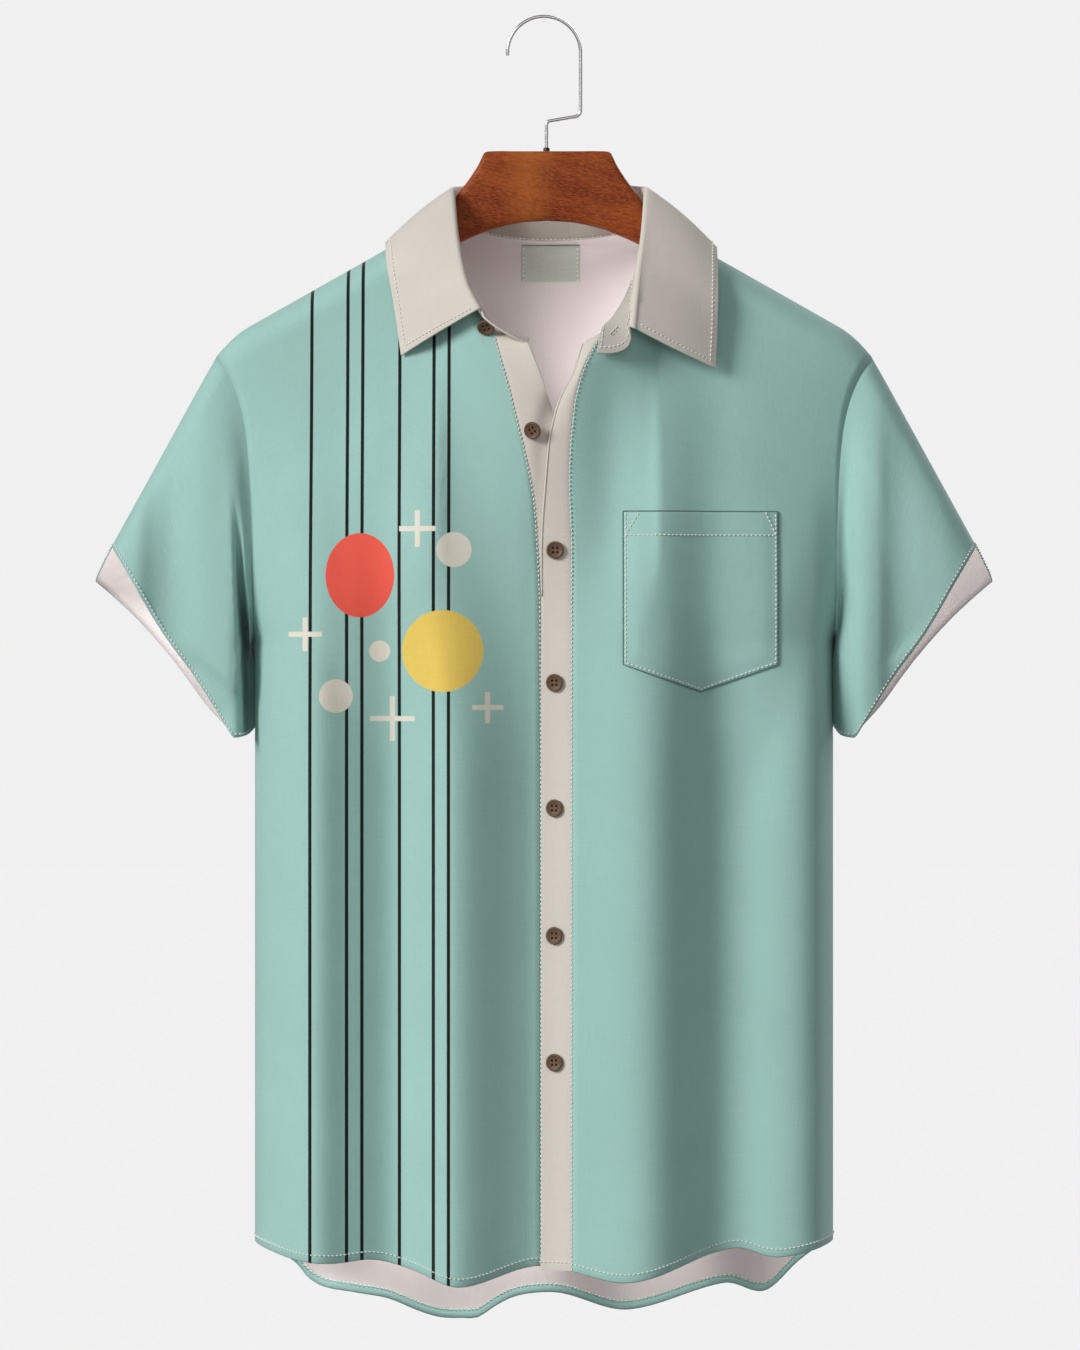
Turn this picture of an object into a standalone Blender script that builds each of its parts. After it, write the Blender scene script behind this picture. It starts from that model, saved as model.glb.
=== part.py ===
"""Short-sleeved bowling shirt on a wooden hanger.

Metres, +Z up. The front faces -Y, the wearer's left is +X, and the origin is the
inside top of the hanger's hook, where a rail carries it.

Every panel is an open sheet of points on one body surface, made solid by a Solidify
modifier. A piece that lies on another is made from that piece's surface, moved out.
"""
import math

import bmesh
import bpy
from mathutils import Matrix, Vector
from mathutils.bvhtree import BVHTree

# ---------------------------------------------------------------- driving sizes
CLOTH = 0.0015            # wall of the body and sleeves
BAND = 0.0018             # wall of the bands and the collar, which are doubled cloth
SEAM = 0.0003             # gap left at every seam
OVERSHOOT = 0.0004        # sheets run this far past the shoulder and side seams

HALF_WIDTH = 0.208        # body, from armpit to hem
FRONT_DEPTH = 0.090       # middle of the body to the front, at the chest and below
BACK_DEPTH = 0.085
SQUARENESS = 2.6          # exponent of the body's flattened oval

ARMPIT_Z = -0.448
TIP_X = 0.2365            # shoulder seam, where the sleeve's top starts
SHOULDER_Z = -0.146       # shoulder line at the neck, before it rises under the collar
SHOULDER_SLOPE = 0.564
SHOULDER_START = 0.077
SHOULDER_ROUND_FROM = 0.212
SHOULDER_ROUND = 14.5     # how fast the line drops past that point, 1/m
NECK_RISE_FROM = 0.114
NECK_RISE = 6.6           # how fast the line climbs to the neck, 1/m
SHOULDER_RADIUS = 0.022   # the cloth turns over the hanger's arm in this height
SHOULDER_SHARE = 0.36     # part of the full depth that it has there
CHEST_DROP = 0.26         # height below the shoulder where the depth is full

NECK_X = 0.003            # the neck sits a little to the wearer's left
NECK_HALF_WIDTH = 0.077
NECK_FRONT, NECK_BACK = 0.070, 0.066
NECK_FRONT_Z, NECK_BACK_Z = -0.2365, -0.153
NECK_DIP = 1.15           # above 1, the seam leaves the shoulder more level
NECK_SAG = 0.006          # the opened fronts droop at the neck
NECK_SAG_ANGLE, NECK_SAG_SPREAD = 32.0, 16.0

LAP_DROP = 0.0022         # the button band lies this far behind the buttonhole band
LAP_BLEND = 0.014
BAND_LIFT = 0.0005        # the buttonhole band stands this far proud

BUTTON_RADIUS = 0.0063
BUTTON_THICK = 0.0026
BUTTON_DISH = 0.0007
HOLE_RADIUS, HOLE_OFFSET = 0.0008, 0.00135
BUTTON_X = 0.0080
BUTTON_ZS = (-0.3844, -0.4784, -0.5676, -0.6582, -0.7483)
LOOSE_BUTTON = (-0.0076, -0.2984)

POCKET_LEFT, POCKET_RIGHT = 0.0565, 0.1665
POCKET_TOP, POCKET_SIDE, POCKET_POINT = -0.357, -0.4655, -0.4845

LABEL_CENTRE_X, LABEL_WIDTH = 0.0048, 0.0422
LABEL_TOP, LABEL_HEIGHT, LABEL_THICK = -0.1605, 0.0265, 0.0010

# Front folds at the hem: a crest stands out from the oval, a hollow falls behind it.
#                x where it starts, x at the hem, height
FRONT_FOLDS = [
    ("side seam", -0.208, -0.208, 0.000),
    ("rolled side", -0.200, -0.200, 0.007),
    ("outer crest", -0.166, -0.164, 0.018),
    ("its flank", -0.142, -0.137, -0.001),
    ("outer hollow", -0.119, -0.102, -0.018),
    ("main crest", -0.088, -0.066, 0.015),
    ("hollow at the bands", -0.022, -0.010, -0.014),
    ("beside the bands", 0.020, 0.027, -0.002),
    ("main crest, left", 0.060, 0.067, 0.013),
    ("its flank, left", 0.084, 0.089, 0.008),
    ("deep hollow", 0.112, 0.118, -0.018),
    ("deep hollow's side", 0.134, 0.139, -0.017),
    ("outer crest, left", 0.190, 0.194, 0.015),
    ("side seam, left", 0.208, 0.208, 0.000),
]
BACK_FOLDS = [
    ("side seam", -0.208, -0.208, 0.000),
    ("outer crest", -0.166, -0.170, 0.005),
    ("outer hollow", -0.112, -0.122, -0.012),
    ("crest", -0.062, -0.056, 0.012),
    ("middle hollow", 0.002, 0.006, -0.014),
    ("crest, left", 0.052, 0.060, 0.013),
    ("hollow, left", 0.110, 0.120, -0.012),
    ("outer crest, left", 0.166, 0.168, 0.006),
    ("side seam, left", 0.208, 0.208, 0.000),
]
FOLDS_START, FOLDS_FULL = -0.300, -0.560

#              x, z of the lower edge
FRONT_HEM = [
    (-0.208, -0.880), (-0.176, -0.889), (-0.150, -0.891), (-0.121, -0.889),
    (-0.094, -0.896), (-0.059, -0.9065), (-0.003, -0.893), (0.060, -0.9035),
    (0.135, -0.8815), (0.166, -0.8875), (0.208, -0.879),
]
BACK_HEM = [
    (-0.208, -0.880), (-0.196, -0.888), (-0.180, -0.901), (-0.172, -0.911),
    (-0.160, -0.918), (-0.137, -0.922), (-0.114, -0.9265), (-0.091, -0.937),
    (-0.076, -0.942), (-0.060, -0.943), (-0.048, -0.9425), (-0.037, -0.935),
    (-0.023, -0.927), (-0.007, -0.923), (0.012, -0.923), (0.061, -0.937),
    (0.131, -0.915), (0.161, -0.921), (0.186, -0.898), (0.208, -0.879),
]

# Edges of the two front strips. The outer edge is the seam to the panel; "drop" is how
# much lower the inner edge's point is.
#              outer z, outer x, inner x, drop
BUTTON_BAND = [
    (-0.2275, -0.0360, -0.0122, 0.0079),
    (-0.2460, -0.0307, -0.0068, 0.0025),
    (-0.2678, -0.0245, -0.0003, -0.0020),
    (-0.2900, -0.0190, 0.0068, -0.0030),
    (-0.3139, -0.0130, 0.0125, -0.0030),
    (-0.3463, -0.0068, 0.0170, -0.0020),
    (-0.3758, -0.0043, 0.0195, -0.0010),
    (-0.4334, -0.0018, 0.0215, 0.0000),
    (-0.9000, -0.0010, 0.0220, 0.0000),
]
BUTTONHOLE_BAND = [
    (-0.2260, 0.0436, 0.0266, 0.0116),
    (-0.2426, 0.0331, 0.0238, 0.0058),
    (-0.2570, 0.0266, 0.0206, 0.0015),
    (-0.2750, 0.0216, 0.0118, 0.0000),
    (-0.2890, 0.0198, 0.0070, 0.0000),
    (-0.3060, 0.0180, 0.0033, 0.0000),
    (-0.3350, 0.0170, 0.0006, 0.0000),
    (-0.3760, 0.0184, -0.0023, 0.0000),
    (-0.4334, 0.0187, -0.0022, 0.0000),
    (-0.9000, 0.0187, -0.0022, 0.0000),
]
# The open end of the buttonhole band turns back into the neck by this much.
#              z, depth
BAND_TURN = [
    (-0.226, 0.003), (-0.245, 0.006), (-0.262, 0.006), (-0.280, 0.004),
    (-0.305, 0.001), (-0.340, 0.000), (-0.900, 0.000),
]

# Collar, a row for each section, clockwise from the right front's end. The angle is
# round the neck from the front middle. "Roll" is the fold, or the stand's free edge
# where there is no leaf; "edge" is the leaf's outer edge.
#              angle, roll x, y, z, edge x, y, z
COLLAR = [
    (38.0, (-0.0480, -0.0770, -0.2140), (-0.1012, -0.0470, -0.2448)),
    (52.0, (-0.0576, -0.0660, -0.1944), (-0.1069, -0.0375, -0.2066)),
    (68.0, (-0.0641, -0.0450, -0.1630), (-0.1116, -0.0315, -0.1820)),
    (84.0, (-0.0670, -0.0160, -0.1290), (-0.1130, -0.0160, -0.1655)),
    (92.0, (-0.0670, 0.0000, -0.1240), (-0.1130, 0.0000, -0.1630)),
    (110.0, (-0.0610, 0.0230, -0.1215), (-0.1085, 0.0265, -0.1690)),
    (135.0, (-0.0440, 0.0450, -0.1190), (-0.0860, 0.0420, -0.1720)),
    (158.0, (-0.0210, 0.0590, -0.1175), (-0.0460, 0.0710, -0.1690)),
    (180.0, (0.0030, 0.0620, -0.1170), (0.0030, 0.0790, -0.1670)),
    (202.0, (0.0270, 0.0590, -0.1175), (0.0520, 0.0710, -0.1690)),
    (225.0, (0.0500, 0.0450, -0.1190), (0.0930, 0.0420, -0.1740)),
    (250.0, (0.0680, 0.0230, -0.1215), (0.1170, 0.0265, -0.1720)),
    (268.0, (0.0749, 0.0000, -0.1240), (0.1225, 0.0000, -0.1665)),
    (276.0, (0.0749, -0.0160, -0.1290), (0.1232, -0.0160, -0.1690)),
    (292.0, (0.0724, -0.0450, -0.1606), (0.1238, -0.0350, -0.1958)),
    (306.0, (0.0684, -0.0630, -0.1908), (0.1231, -0.0400, -0.2246)),
    (318.5, (0.0648, -0.0715, -0.2268), (0.1217, -0.0465, -0.2538)),
]
#              angle, free edge x, y, z
STAND_RIGHT_END = [
    (10.0, (-0.0130, -0.0780, -0.2345)),
    (18.0, (-0.0250, -0.0860, -0.2300)),
    (28.0, (-0.0370, -0.0830, -0.2225)),
]
STAND_LEFT_END = [
    (321.5, (0.0606, -0.0730, -0.2360)),
    (324.5, (0.0515, -0.0745, -0.2412)),
    (327.5, (0.0385, -0.0765, -0.2412)),
]
STAND_OVER_FROM = 306.0   # from here on the stand leans out over the panel's edge
STAND_LIFT = 0.0014
STAND_ARCH = 0.0080       # it rises this much before it turns down
OPEN_FROM_Z = -0.320      # above this the two front strips part
ROLL_HALF = 0.0026        # half the roll's thickness, where the leaf turns over
LEAF_BULGE = 0.0022

# Sleeve hem of the left sleeve, from the top corner to the underarm. The front of the
# hem lies higher up the sleeve than the back.
#              share of the way, x, z
CUFF_FRONT = [
    (0.00, 0.3105, -0.3800), (0.22, 0.2938, -0.4075), (0.50, 0.2725, -0.4440),
    (0.75, 0.2480, -0.4775), (1.00, 0.2150, -0.5190),
]
CUFF_BACK = [
    (0.00, 0.3245, -0.4050), (0.25, 0.2955, -0.4320), (0.50, 0.2680, -0.4630),
    (0.75, 0.2430, -0.4930), (1.00, 0.2150, -0.5200),
]
CUFF_HALF_DEPTH = 0.046
CUFF_SQUARENESS = 2.5
CUFF_TURN_OVER = 0.45     # share of the half depth in which back and front lines join
SLEEVE_PUFF = 0.010
SLEEVE_SPREAD = 0.006     # the underarm leaves the body this far before it hangs down
SLEEVE_CLEAR = 0.0022     # kept from the body's side
SLEEVE_BEHIND = 0.0026    # and this much more behind it
SLEEVE_FREE_Z = -0.395    # above this the sleeve cannot meet the body's side
SIDE_FROM_X = 0.150       # the body's side curve is looked for from here out
UNDERARM_RISE = 0.0075    # the hem climbs this much from its lowest corner to the body
# How far the sleeve's inner part is drawn against the body's side, round its section.
#              turn in degrees, share
UNDERARM_PULL = [(130.0, 0.0), (160.0, 0.35), (180.0, 1.0), (225.0, 0.9), (262.0, 0.0)]

# Hanger, right half, a section for each row.
#              x, top z, bottom z, half thickness, squareness
HANGER_SECTIONS = [
    (0.0000, -0.0960, -0.1460, 0.0070, 5.0),
    (0.0200, -0.0960, -0.1475, 0.0070, 5.0),
    (0.0400, -0.0960, -0.1520, 0.0070, 5.0),
    (0.0452, -0.0970, -0.1540, 0.0070, 5.0),
    (0.0470, -0.1000, -0.1548, 0.0070, 5.0),
    (0.0500, -0.1062, -0.1560, 0.0070, 4.6),
    (0.0570, -0.1170, -0.1590, 0.0070, 4.0),
    (0.0675, -0.1310, -0.1640, 0.0070, 3.0),
    (0.0710, -0.1402, -0.1660, 0.0068, 2.6),
    (0.0760, -0.1488, -0.1700, 0.0068, 2.4),
    (0.0850, -0.1540, -0.1780, 0.0080, 2.4),
    (0.1000, -0.1640, -0.1890, 0.0090, 2.4),
    (0.1180, -0.1755, -0.2010, 0.0100, 2.4),
    (0.1450, -0.1915, -0.2170, 0.0108, 2.4),
    (0.1800, -0.2110, -0.2350, 0.0112, 2.4),
    (0.2020, -0.2240, -0.2460, 0.0105, 2.4),
    (0.2130, -0.2320, -0.2490, 0.0085, 2.4),
    (0.2180, -0.2380, -0.2470, 0.0050, 2.4),
]
HANGER_X = 0.0025         # the head's middle

WIRE_RADIUS = 0.0012
HOOK_RADIUS = 0.0263
HOOK_SIDE_Z = -0.0665
HOOK_CRANK_Z = -0.0725
HOOK_FOOT_X = 0.0018
HOOK_BEND = 0.0045
HANGER_TOP_Z = -0.0960

# Grid of the panels
COLUMNS = 15              # front middle to side seam
ROWS_BELOW = 9            # hem to armpit
ROWS_ABOVE = 10           # armpit to shoulder
NECK_COLUMN_SHARE = 0.42  # share of the columns that end at the neck
SLEEVE_ROWS = 8


# ---------------------------------------------------------------- small helpers
def smooth(value):
    value = min(max(value, 0.0), 1.0)
    return value * value * (3.0 - 2.0 * value)


def lerp(start, end, share):
    return start + (end - start) * share


def read_table(rows, value, column):
    """Smooth curve through a table's rows, read at a value of its first column."""
    ordered = sorted(rows, key=lambda row: row[0])
    keys = [row[0] for row in ordered]
    heights = [row[column] for row in ordered]
    value = min(max(value, keys[0]), keys[-1])
    last = len(keys) - 1
    index = 0
    while index < last - 1 and value > keys[index + 1]:
        index += 1

    def tangent(at):
        low, high = max(at - 1, 0), min(at + 1, last)
        return (heights[high] - heights[low]) / (keys[high] - keys[low])

    span = keys[index + 1] - keys[index]
    share = (value - keys[index]) / span
    square, cube = share * share, share ** 3
    return (heights[index] * (2 * cube - 3 * square + 1)
            + heights[index + 1] * (3 * square - 2 * cube)
            + tangent(index) * span * (cube - 2 * square + share)
            + tangent(index + 1) * span * (cube - square))


# ---------------------------------------------------------------- the body's surface
def shoulder_z(x):
    """Height of the shoulder line."""
    along = abs(x)
    past = max(0.0, along - SHOULDER_ROUND_FROM)
    rise = max(0.0, NECK_RISE_FROM - along)
    return (SHOULDER_Z - SHOULDER_SLOPE * (along - SHOULDER_START)
            - SHOULDER_ROUND * past ** 2 + NECK_RISE * rise ** 2)


TIP_Z = shoulder_z(TIP_X)


def neck_sag(angle):
    """How far the seam droops at an angle from the front middle, in degrees."""
    return NECK_SAG * math.exp(-((angle - NECK_SAG_ANGLE) / NECK_SAG_SPREAD) ** 2)


def neck_point(angle):
    """Point of the neck seam; the angle is in degrees from the front middle."""
    turn = math.radians(angle)
    across, ahead = math.sin(turn), math.cos(turn)
    side_x = NECK_X - NECK_HALF_WIDTH * math.copysign(1.0, across)
    middle_z, reach = (NECK_FRONT_Z, NECK_FRONT) if ahead > 0 else (NECK_BACK_Z, NECK_BACK)
    seam_z = lerp(shoulder_z(side_x), middle_z, abs(ahead) ** NECK_DIP)
    return Vector((NECK_X - NECK_HALF_WIDTH * across, -reach * ahead,
                   seam_z - neck_sag(min(angle, 360.0 - angle))))


def neck_share(x):
    """1 in the middle of the neck, 0 at its sides and beyond."""
    across = min(abs((x - NECK_X) / NECK_HALF_WIDTH), 1.0)
    return math.sqrt(1.0 - across * across)


def top_z(x, face):
    """Upper edge of a panel: the neck seam, then the shoulder."""
    share = neck_share(x)
    if share == 0.0:
        return shoulder_z(x)
    side_x = NECK_X + math.copysign(NECK_HALF_WIDTH, x - NECK_X)
    middle_z = NECK_FRONT_Z if face < 0 else NECK_BACK_Z
    edge = lerp(shoulder_z(side_x), middle_z, share ** NECK_DIP)
    return edge - neck_sag(math.degrees(math.acos(share))) if face < 0 else edge


def body_half_width(z):
    climb = min(max((z - ARMPIT_Z) / 0.200, 0.0), 1.0)
    return HALF_WIDTH + 0.038 * (1.0 - (1.0 - climb) ** 2)


def oval(x, z):
    """Share of the full depth that the body's oval has at x."""
    across = min(abs(x) / body_half_width(z), 1.0)
    return (1.0 - across ** SQUARENESS) ** (1.0 / SQUARENESS)


def fold(x, z, rows):
    """How far the folds stand out from the oval."""
    grown = smooth((FOLDS_START - z) / (FOLDS_START - FOLDS_FULL))
    if grown == 0.0:
        return 0.0
    placed = [(lerp(row[1], row[2], grown), row[3]) for row in rows]
    return grown * read_table(placed, x, 1)


def depth(x, z, face):
    """Distance from the body's middle to its front (face -1) or back (face 1)."""
    full = FRONT_DEPTH if face < 0 else BACK_DEPTH
    neck = NECK_FRONT if face < 0 else NECK_BACK
    below = max(0.0, top_z(x, face) - z)
    turned = min(below / SHOULDER_RADIUS, 1.0)
    grown = (SHOULDER_SHARE * math.sqrt(1.0 - (1.0 - turned) ** 2)
             + (1.0 - SHOULDER_SHARE) * smooth(below / CHEST_DROP))
    folds = fold(x, z, FRONT_FOLDS if face < 0 else BACK_FOLDS)
    return lerp(neck * neck_share(x), full * oval(x, z), grown) + folds


def body_y(x, z, face):
    return face * (depth(x, z, face) - OVERSHOOT)


def lap(x, z):
    """How far the right front and its band pass behind the buttonhole band."""
    edge = read_table(BUTTONHOLE_BAND, z, 2)
    turn = read_table(BAND_TURN, z, 1)
    return (LAP_DROP + turn) * smooth((x - edge + LAP_BLEND) / LAP_BLEND)


def right_front_y(x, z):
    return body_y(x, z, -1) + lap(x, z)


def armhole_x(z):
    fall = TIP_Z - z
    steady = lerp(HALF_WIDTH - 0.0003, 0.2115, (z - ARMPIT_Z) / (TIP_Z - ARMPIT_Z))
    return steady + (TIP_X - 0.2115) * math.exp(-fall / 0.030) * (1.0 - smooth(fall / 0.2))


def hem_z(x, face):
    return read_table(FRONT_HEM if face < 0 else BACK_HEM, x, 1)


# ---------------------------------------------------------------- panels
def column_share(column):
    """Columns crowd towards the side seam, where the oval turns away."""
    return math.sin(math.radians(90.0 * column / COLUMNS))


def row_share(row):
    """Rows above the armpit crowd towards the shoulder."""
    return math.sin(math.radians(90.0 * row / ROWS_ABOVE))


def top_outline(column, inner_x, side):
    """x along the panel's upper edge: to the neck's side, then along the shoulder."""
    share = column / COLUMNS
    neck_side = NECK_X + side * NECK_HALF_WIDTH
    if share <= NECK_COLUMN_SHARE:
        start = math.asin(min(abs(inner_x - NECK_X) / NECK_HALF_WIDTH, 1.0))
        turn = lerp(start, math.pi / 2, share / NECK_COLUMN_SHARE)
        return NECK_X + side * NECK_HALF_WIDTH * math.sin(turn)
    along = (share - NECK_COLUMN_SHARE) / (1.0 - NECK_COLUMN_SHARE)
    return lerp(neck_side, side * TIP_X, along)


def half_panel(inner_edge, face, side, surface):
    """Grid of a half body panel, rows from hem to shoulder.

    inner_edge(z) gives x along the middle edge, side is -1 or 1 along X.
    """
    armpit_inner = inner_edge(ARMPIT_Z)
    top_inner_z = inner_edge.top
    top_inner_x = inner_edge(top_inner_z)

    def bottom(column, z):
        return lerp(inner_edge(z), side * HALF_WIDTH, column_share(column))

    grid = []
    for row in range(ROWS_BELOW):
        share = row / ROWS_BELOW
        line = []
        for column in range(COLUMNS + 1):
            x = bottom(column, lerp(-0.900, ARMPIT_Z, share))
            z = lerp(hem_z(x, face), ARMPIT_Z, share)
            line.append((x, z))
        grid.append(line)
    for row in range(ROWS_ABOVE + 1):
        share = row_share(row)
        line = []
        inner_z = lerp(ARMPIT_Z, top_inner_z, share)
        outer_z = lerp(ARMPIT_Z, TIP_Z, share)
        inner = (inner_edge(inner_z), inner_z)
        outer = (side * armhole_x(outer_z), outer_z)
        for column in range(COLUMNS + 1):
            across = column_share(column)
            low = (bottom(column, ARMPIT_Z), ARMPIT_Z)
            high_x = top_outline(column, top_inner_x, side)
            high = (high_x, top_z(high_x, face))
            corners = ((armpit_inner, ARMPIT_Z), (side * armhole_x(ARMPIT_Z), ARMPIT_Z),
                       (top_inner_x, top_inner_z), (side * TIP_X, TIP_Z))
            point = []
            for axis in range(2):
                ruled = lerp(low[axis], high[axis], share)
                edges = lerp(inner[axis], outer[axis], across)
                flat = lerp(lerp(corners[0][axis], corners[1][axis], across),
                            lerp(corners[2][axis], corners[3][axis], across), share)
                point.append(ruled + edges - flat)
            line.append(tuple(point))
        grid.append(line)
    return [[Vector((x, surface(x, z), z)) for x, z in line] for line in grid]


class Edge:
    """Middle edge of a panel: x as a function of z, up to a top height."""

    def __init__(self, read, top):
        self.read, self.top = read, top

    def __call__(self, z):
        return self.read(min(z, self.top))


def make_front_right():
    edge = Edge(lambda z: read_table(BUTTON_BAND, z, 1) - SEAM / 2, BUTTON_BAND[0][0])
    return half_panel(edge, -1, -1, right_front_y)


def make_front_left():
    edge = Edge(lambda z: read_table(BUTTONHOLE_BAND, z, 1) + SEAM / 2,
                BUTTONHOLE_BAND[0][0])
    return half_panel(edge, -1, 1, lambda x, z: body_y(x, z, -1))


def make_back():
    middle = Edge(lambda z: 0.0, top_z(0.0, 1))
    halves = [half_panel(middle, 1, side, lambda x, z: body_y(x, z, 1)) for side in (-1, 1)]
    return [left[:0:-1] + right for left, right in zip(*halves)]


def make_strip(panel, rows, surface, seam_side):
    """Strip along a panel's middle edge, three columns wide, row by row with it."""
    grid = []
    for line in panel:
        outer_z = line[0].z
        opened = smooth((outer_z - OPEN_FROM_Z) / 0.05)
        outer_x = line[0].x + seam_side * SEAM * (1.0 + 2.0 * opened)
        inner_x = read_table(rows, outer_z, 2)
        inner_z = outer_z - read_table(rows, outer_z, 3)
        points = []
        for column in range(4):
            share = column / 3
            x, z = lerp(outer_x, inner_x, share), lerp(outer_z, inner_z, share)
            points.append(Vector((x, surface(x, z, share), z)))
        grid.append(points)
    return grid


def buttonhole_band_y(x, z, share):
    turn = read_table(BAND_TURN, z, 1) * share ** 2
    return body_y(x, z, -1) - BAND_LIFT * smooth(share * 4.0) + turn


# ---------------------------------------------------------------- sleeves
def body_side_x(y, z):
    """Half width of the body at depth y; above the armpit it ends at the armhole."""
    face = -1 if y < 0 else 1
    low, high = SIDE_FROM_X, body_half_width(z)
    for _ in range(16):
        middle = (low + high) / 2
        if depth(middle, z, face) > abs(y):
            low = middle
        else:
            high = middle
    return min(low, HALF_WIDTH if z < ARMPIT_Z else armhole_x(z))


def cuff_point(turn, side):
    """Point of a sleeve's hem; turn 0 is the top, a quarter turn the front."""
    power = 2.0 / CUFF_SQUARENESS
    along = math.copysign(abs(math.cos(turn)) ** power, math.cos(turn))
    ahead = math.copysign(abs(math.sin(turn)) ** power, math.sin(turn))
    share = (1.0 - along) / 2.0
    front = smooth((ahead / CUFF_TURN_OVER + 1.0) / 2.0)
    x, z = (lerp(read_table(CUFF_BACK, share, part), read_table(CUFF_FRONT, share, part),
                 front) for part in (1, 2))
    return Vector((side * x, -CUFF_HALF_DEPTH * ahead, z))


def armhole_ring(side):
    """Points of the armhole, from the shoulder down the front and up the back."""
    ring = []
    for face in (-1, 1):
        rows = range(ROWS_ABOVE, 0, -1) if face < 0 else range(ROWS_ABOVE)
        for row in rows:
            z = lerp(ARMPIT_Z, TIP_Z, row_share(row))
            x = armhole_x(z)
            y = 0.0 if row in (0, ROWS_ABOVE) else body_y(x, z, face)
            ring.append(Vector((side * x, y, z)))
    return ring


def make_sleeve(side):
    ring = armhole_ring(side)
    steps = len(ring)
    grid = []
    for row in range(SLEEVE_ROWS + 1):
        share = row / SLEEVE_ROWS
        line = []
        for index, start in enumerate(ring):
            angle = 360.0 * index / steps
            turn = math.radians(angle)
            end = cuff_point(turn, side)
            pull = read_table(UNDERARM_PULL, angle, 1)
            end.z += UNDERARM_RISE * pull
            low = smooth((1.0 - math.cos(turn)) / 2.0)
            middle = start.lerp(end, 0.5)
            middle.x += side * 2.0 * SLEEVE_SPREAD * low
            middle.z += SLEEVE_SPREAD * low
            away = (middle - start).normalized() * 3 * SEAM + Vector((side * 2 * SEAM * low, 0, 0))
            point = (start + away).lerp(middle, share).lerp(middle.lerp(end, share), share)
            point.y -= SLEEVE_PUFF * math.sin(math.pi * share) * math.sin(turn)
            if point.z < SLEEVE_FREE_Z:
                clear = lerp(4 * SEAM, SLEEVE_CLEAR, smooth((SLEEVE_FREE_Z - point.z) / 0.05))
                clear += SLEEVE_BEHIND * smooth(point.y / 0.012)
                limit = body_side_x(point.y, point.z) + clear
                reach = lerp(side * point.x, limit, pull * smooth(share * 2.0))
                point.x = side * max(reach, limit)
            line.append(point)
        grid.append(line)
    return grid


# ---------------------------------------------------------------- collar
def collar_frame(angle, roll):
    """Seam point and the stand's upward direction at a section of the collar."""
    seam = neck_point(angle)
    return seam, (roll - seam).normalized()


def outward_of(up, towards):
    """Direction from the neck to the outside, square to the stand."""
    away = towards - up * towards.dot(up)
    return away.normalized()


def dense(rows, steps):
    """Rows of a collar table with more sections read off smooth curves."""
    out = []
    angles = [row[0] for row in rows]
    for index in range(len(rows) - 1):
        for step in range(steps):
            angle = lerp(angles[index], angles[index + 1], step / steps)
            out.append(tuple([angle] + [Vector([read_table(
                [(row[0], row[part][axis]) for row in rows], angle, 1)
                for axis in range(3)]) for part in range(1, len(rows[0]))]))
    out.append(tuple([angles[-1]] + [Vector(part) for part in rows[-1][1:]]))
    return out


def make_collar_leaf():
    grid = []
    for angle, roll, edge in dense(COLLAR, 2):
        seam, up = collar_frame(angle, roll)
        away = outward_of(up, edge - roll)
        normal = up.cross(edge - roll).cross(edge - roll)
        normal = -normal.normalized() if normal.dot(up) < 0 else normal.normalized()
        line = [roll - away * ROLL_HALF - up * 0.0020, roll - away * 0.0016 + up * 0.0006]
        for share in (0.0, 0.2, 0.45, 0.72, 1.0):
            bulge = LEAF_BULGE * math.sin(math.pi * share)
            line.append(roll.lerp(edge, share) + normal * bulge)
        grid.append(line)
    return grid


def make_collar_stand():
    rows = ([(angle, roll) for angle, roll in STAND_RIGHT_END]
            + [(angle, roll) for angle, roll, edge in COLLAR]
            + [(angle, roll) for angle, roll in STAND_LEFT_END])
    edges = {angle: Vector(edge) for angle, roll, edge in COLLAR}
    grid = []
    for angle, roll in dense(rows, 1):
        seam, up = collar_frame(angle, roll)
        nearest = min(edges, key=lambda other: abs(other - angle))
        away = outward_of(up, edges[nearest] - roll)
        over = smooth((angle - STAND_OVER_FROM) / 12.0)
        start = smooth((40.0 - angle) / 12.0)
        foot = seam + up * 2 * SEAM - away * (BAND + SEAM) * (1.0 - max(over, start))
        foot.z += STAND_LIFT * (over + start)
        head = roll - away * ROLL_HALF - up * (0.0020 + 2 * SEAM)
        arch = foot.lerp(head, 0.4) + Vector((0.0, -0.5, 1.0)) * STAND_ARCH * over
        grid.append([foot.lerp(arch, share).lerp(arch.lerp(head, share), share)
                     for share in (0.0, 0.3, 0.65, 1.0)])
    return grid


# ---------------------------------------------------------------- making objects
def clear_scene():
    for item in list(bpy.data.objects):
        bpy.data.objects.remove(item, do_unlink=True)


def collection(name):
    group = bpy.data.collections.new(name)
    bpy.context.scene.collection.children.link(group)
    return group


def material(name, colour, roughness, metallic=0.0):
    finish = bpy.data.materials.new(name)
    finish.use_nodes = True
    shader = finish.node_tree.nodes["Principled BSDF"]
    shader.inputs["Base Color"].default_value = (*colour, 1.0)
    shader.inputs["Roughness"].default_value = roughness
    shader.inputs["Metallic"].default_value = metallic
    finish.diffuse_color = (*colour, 1.0)
    return finish


def add_object(name, mesh, finish, group):
    thing = bpy.data.objects.new(name, mesh)
    mesh.materials.append(finish)
    group.objects.link(thing)
    return thing


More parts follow.
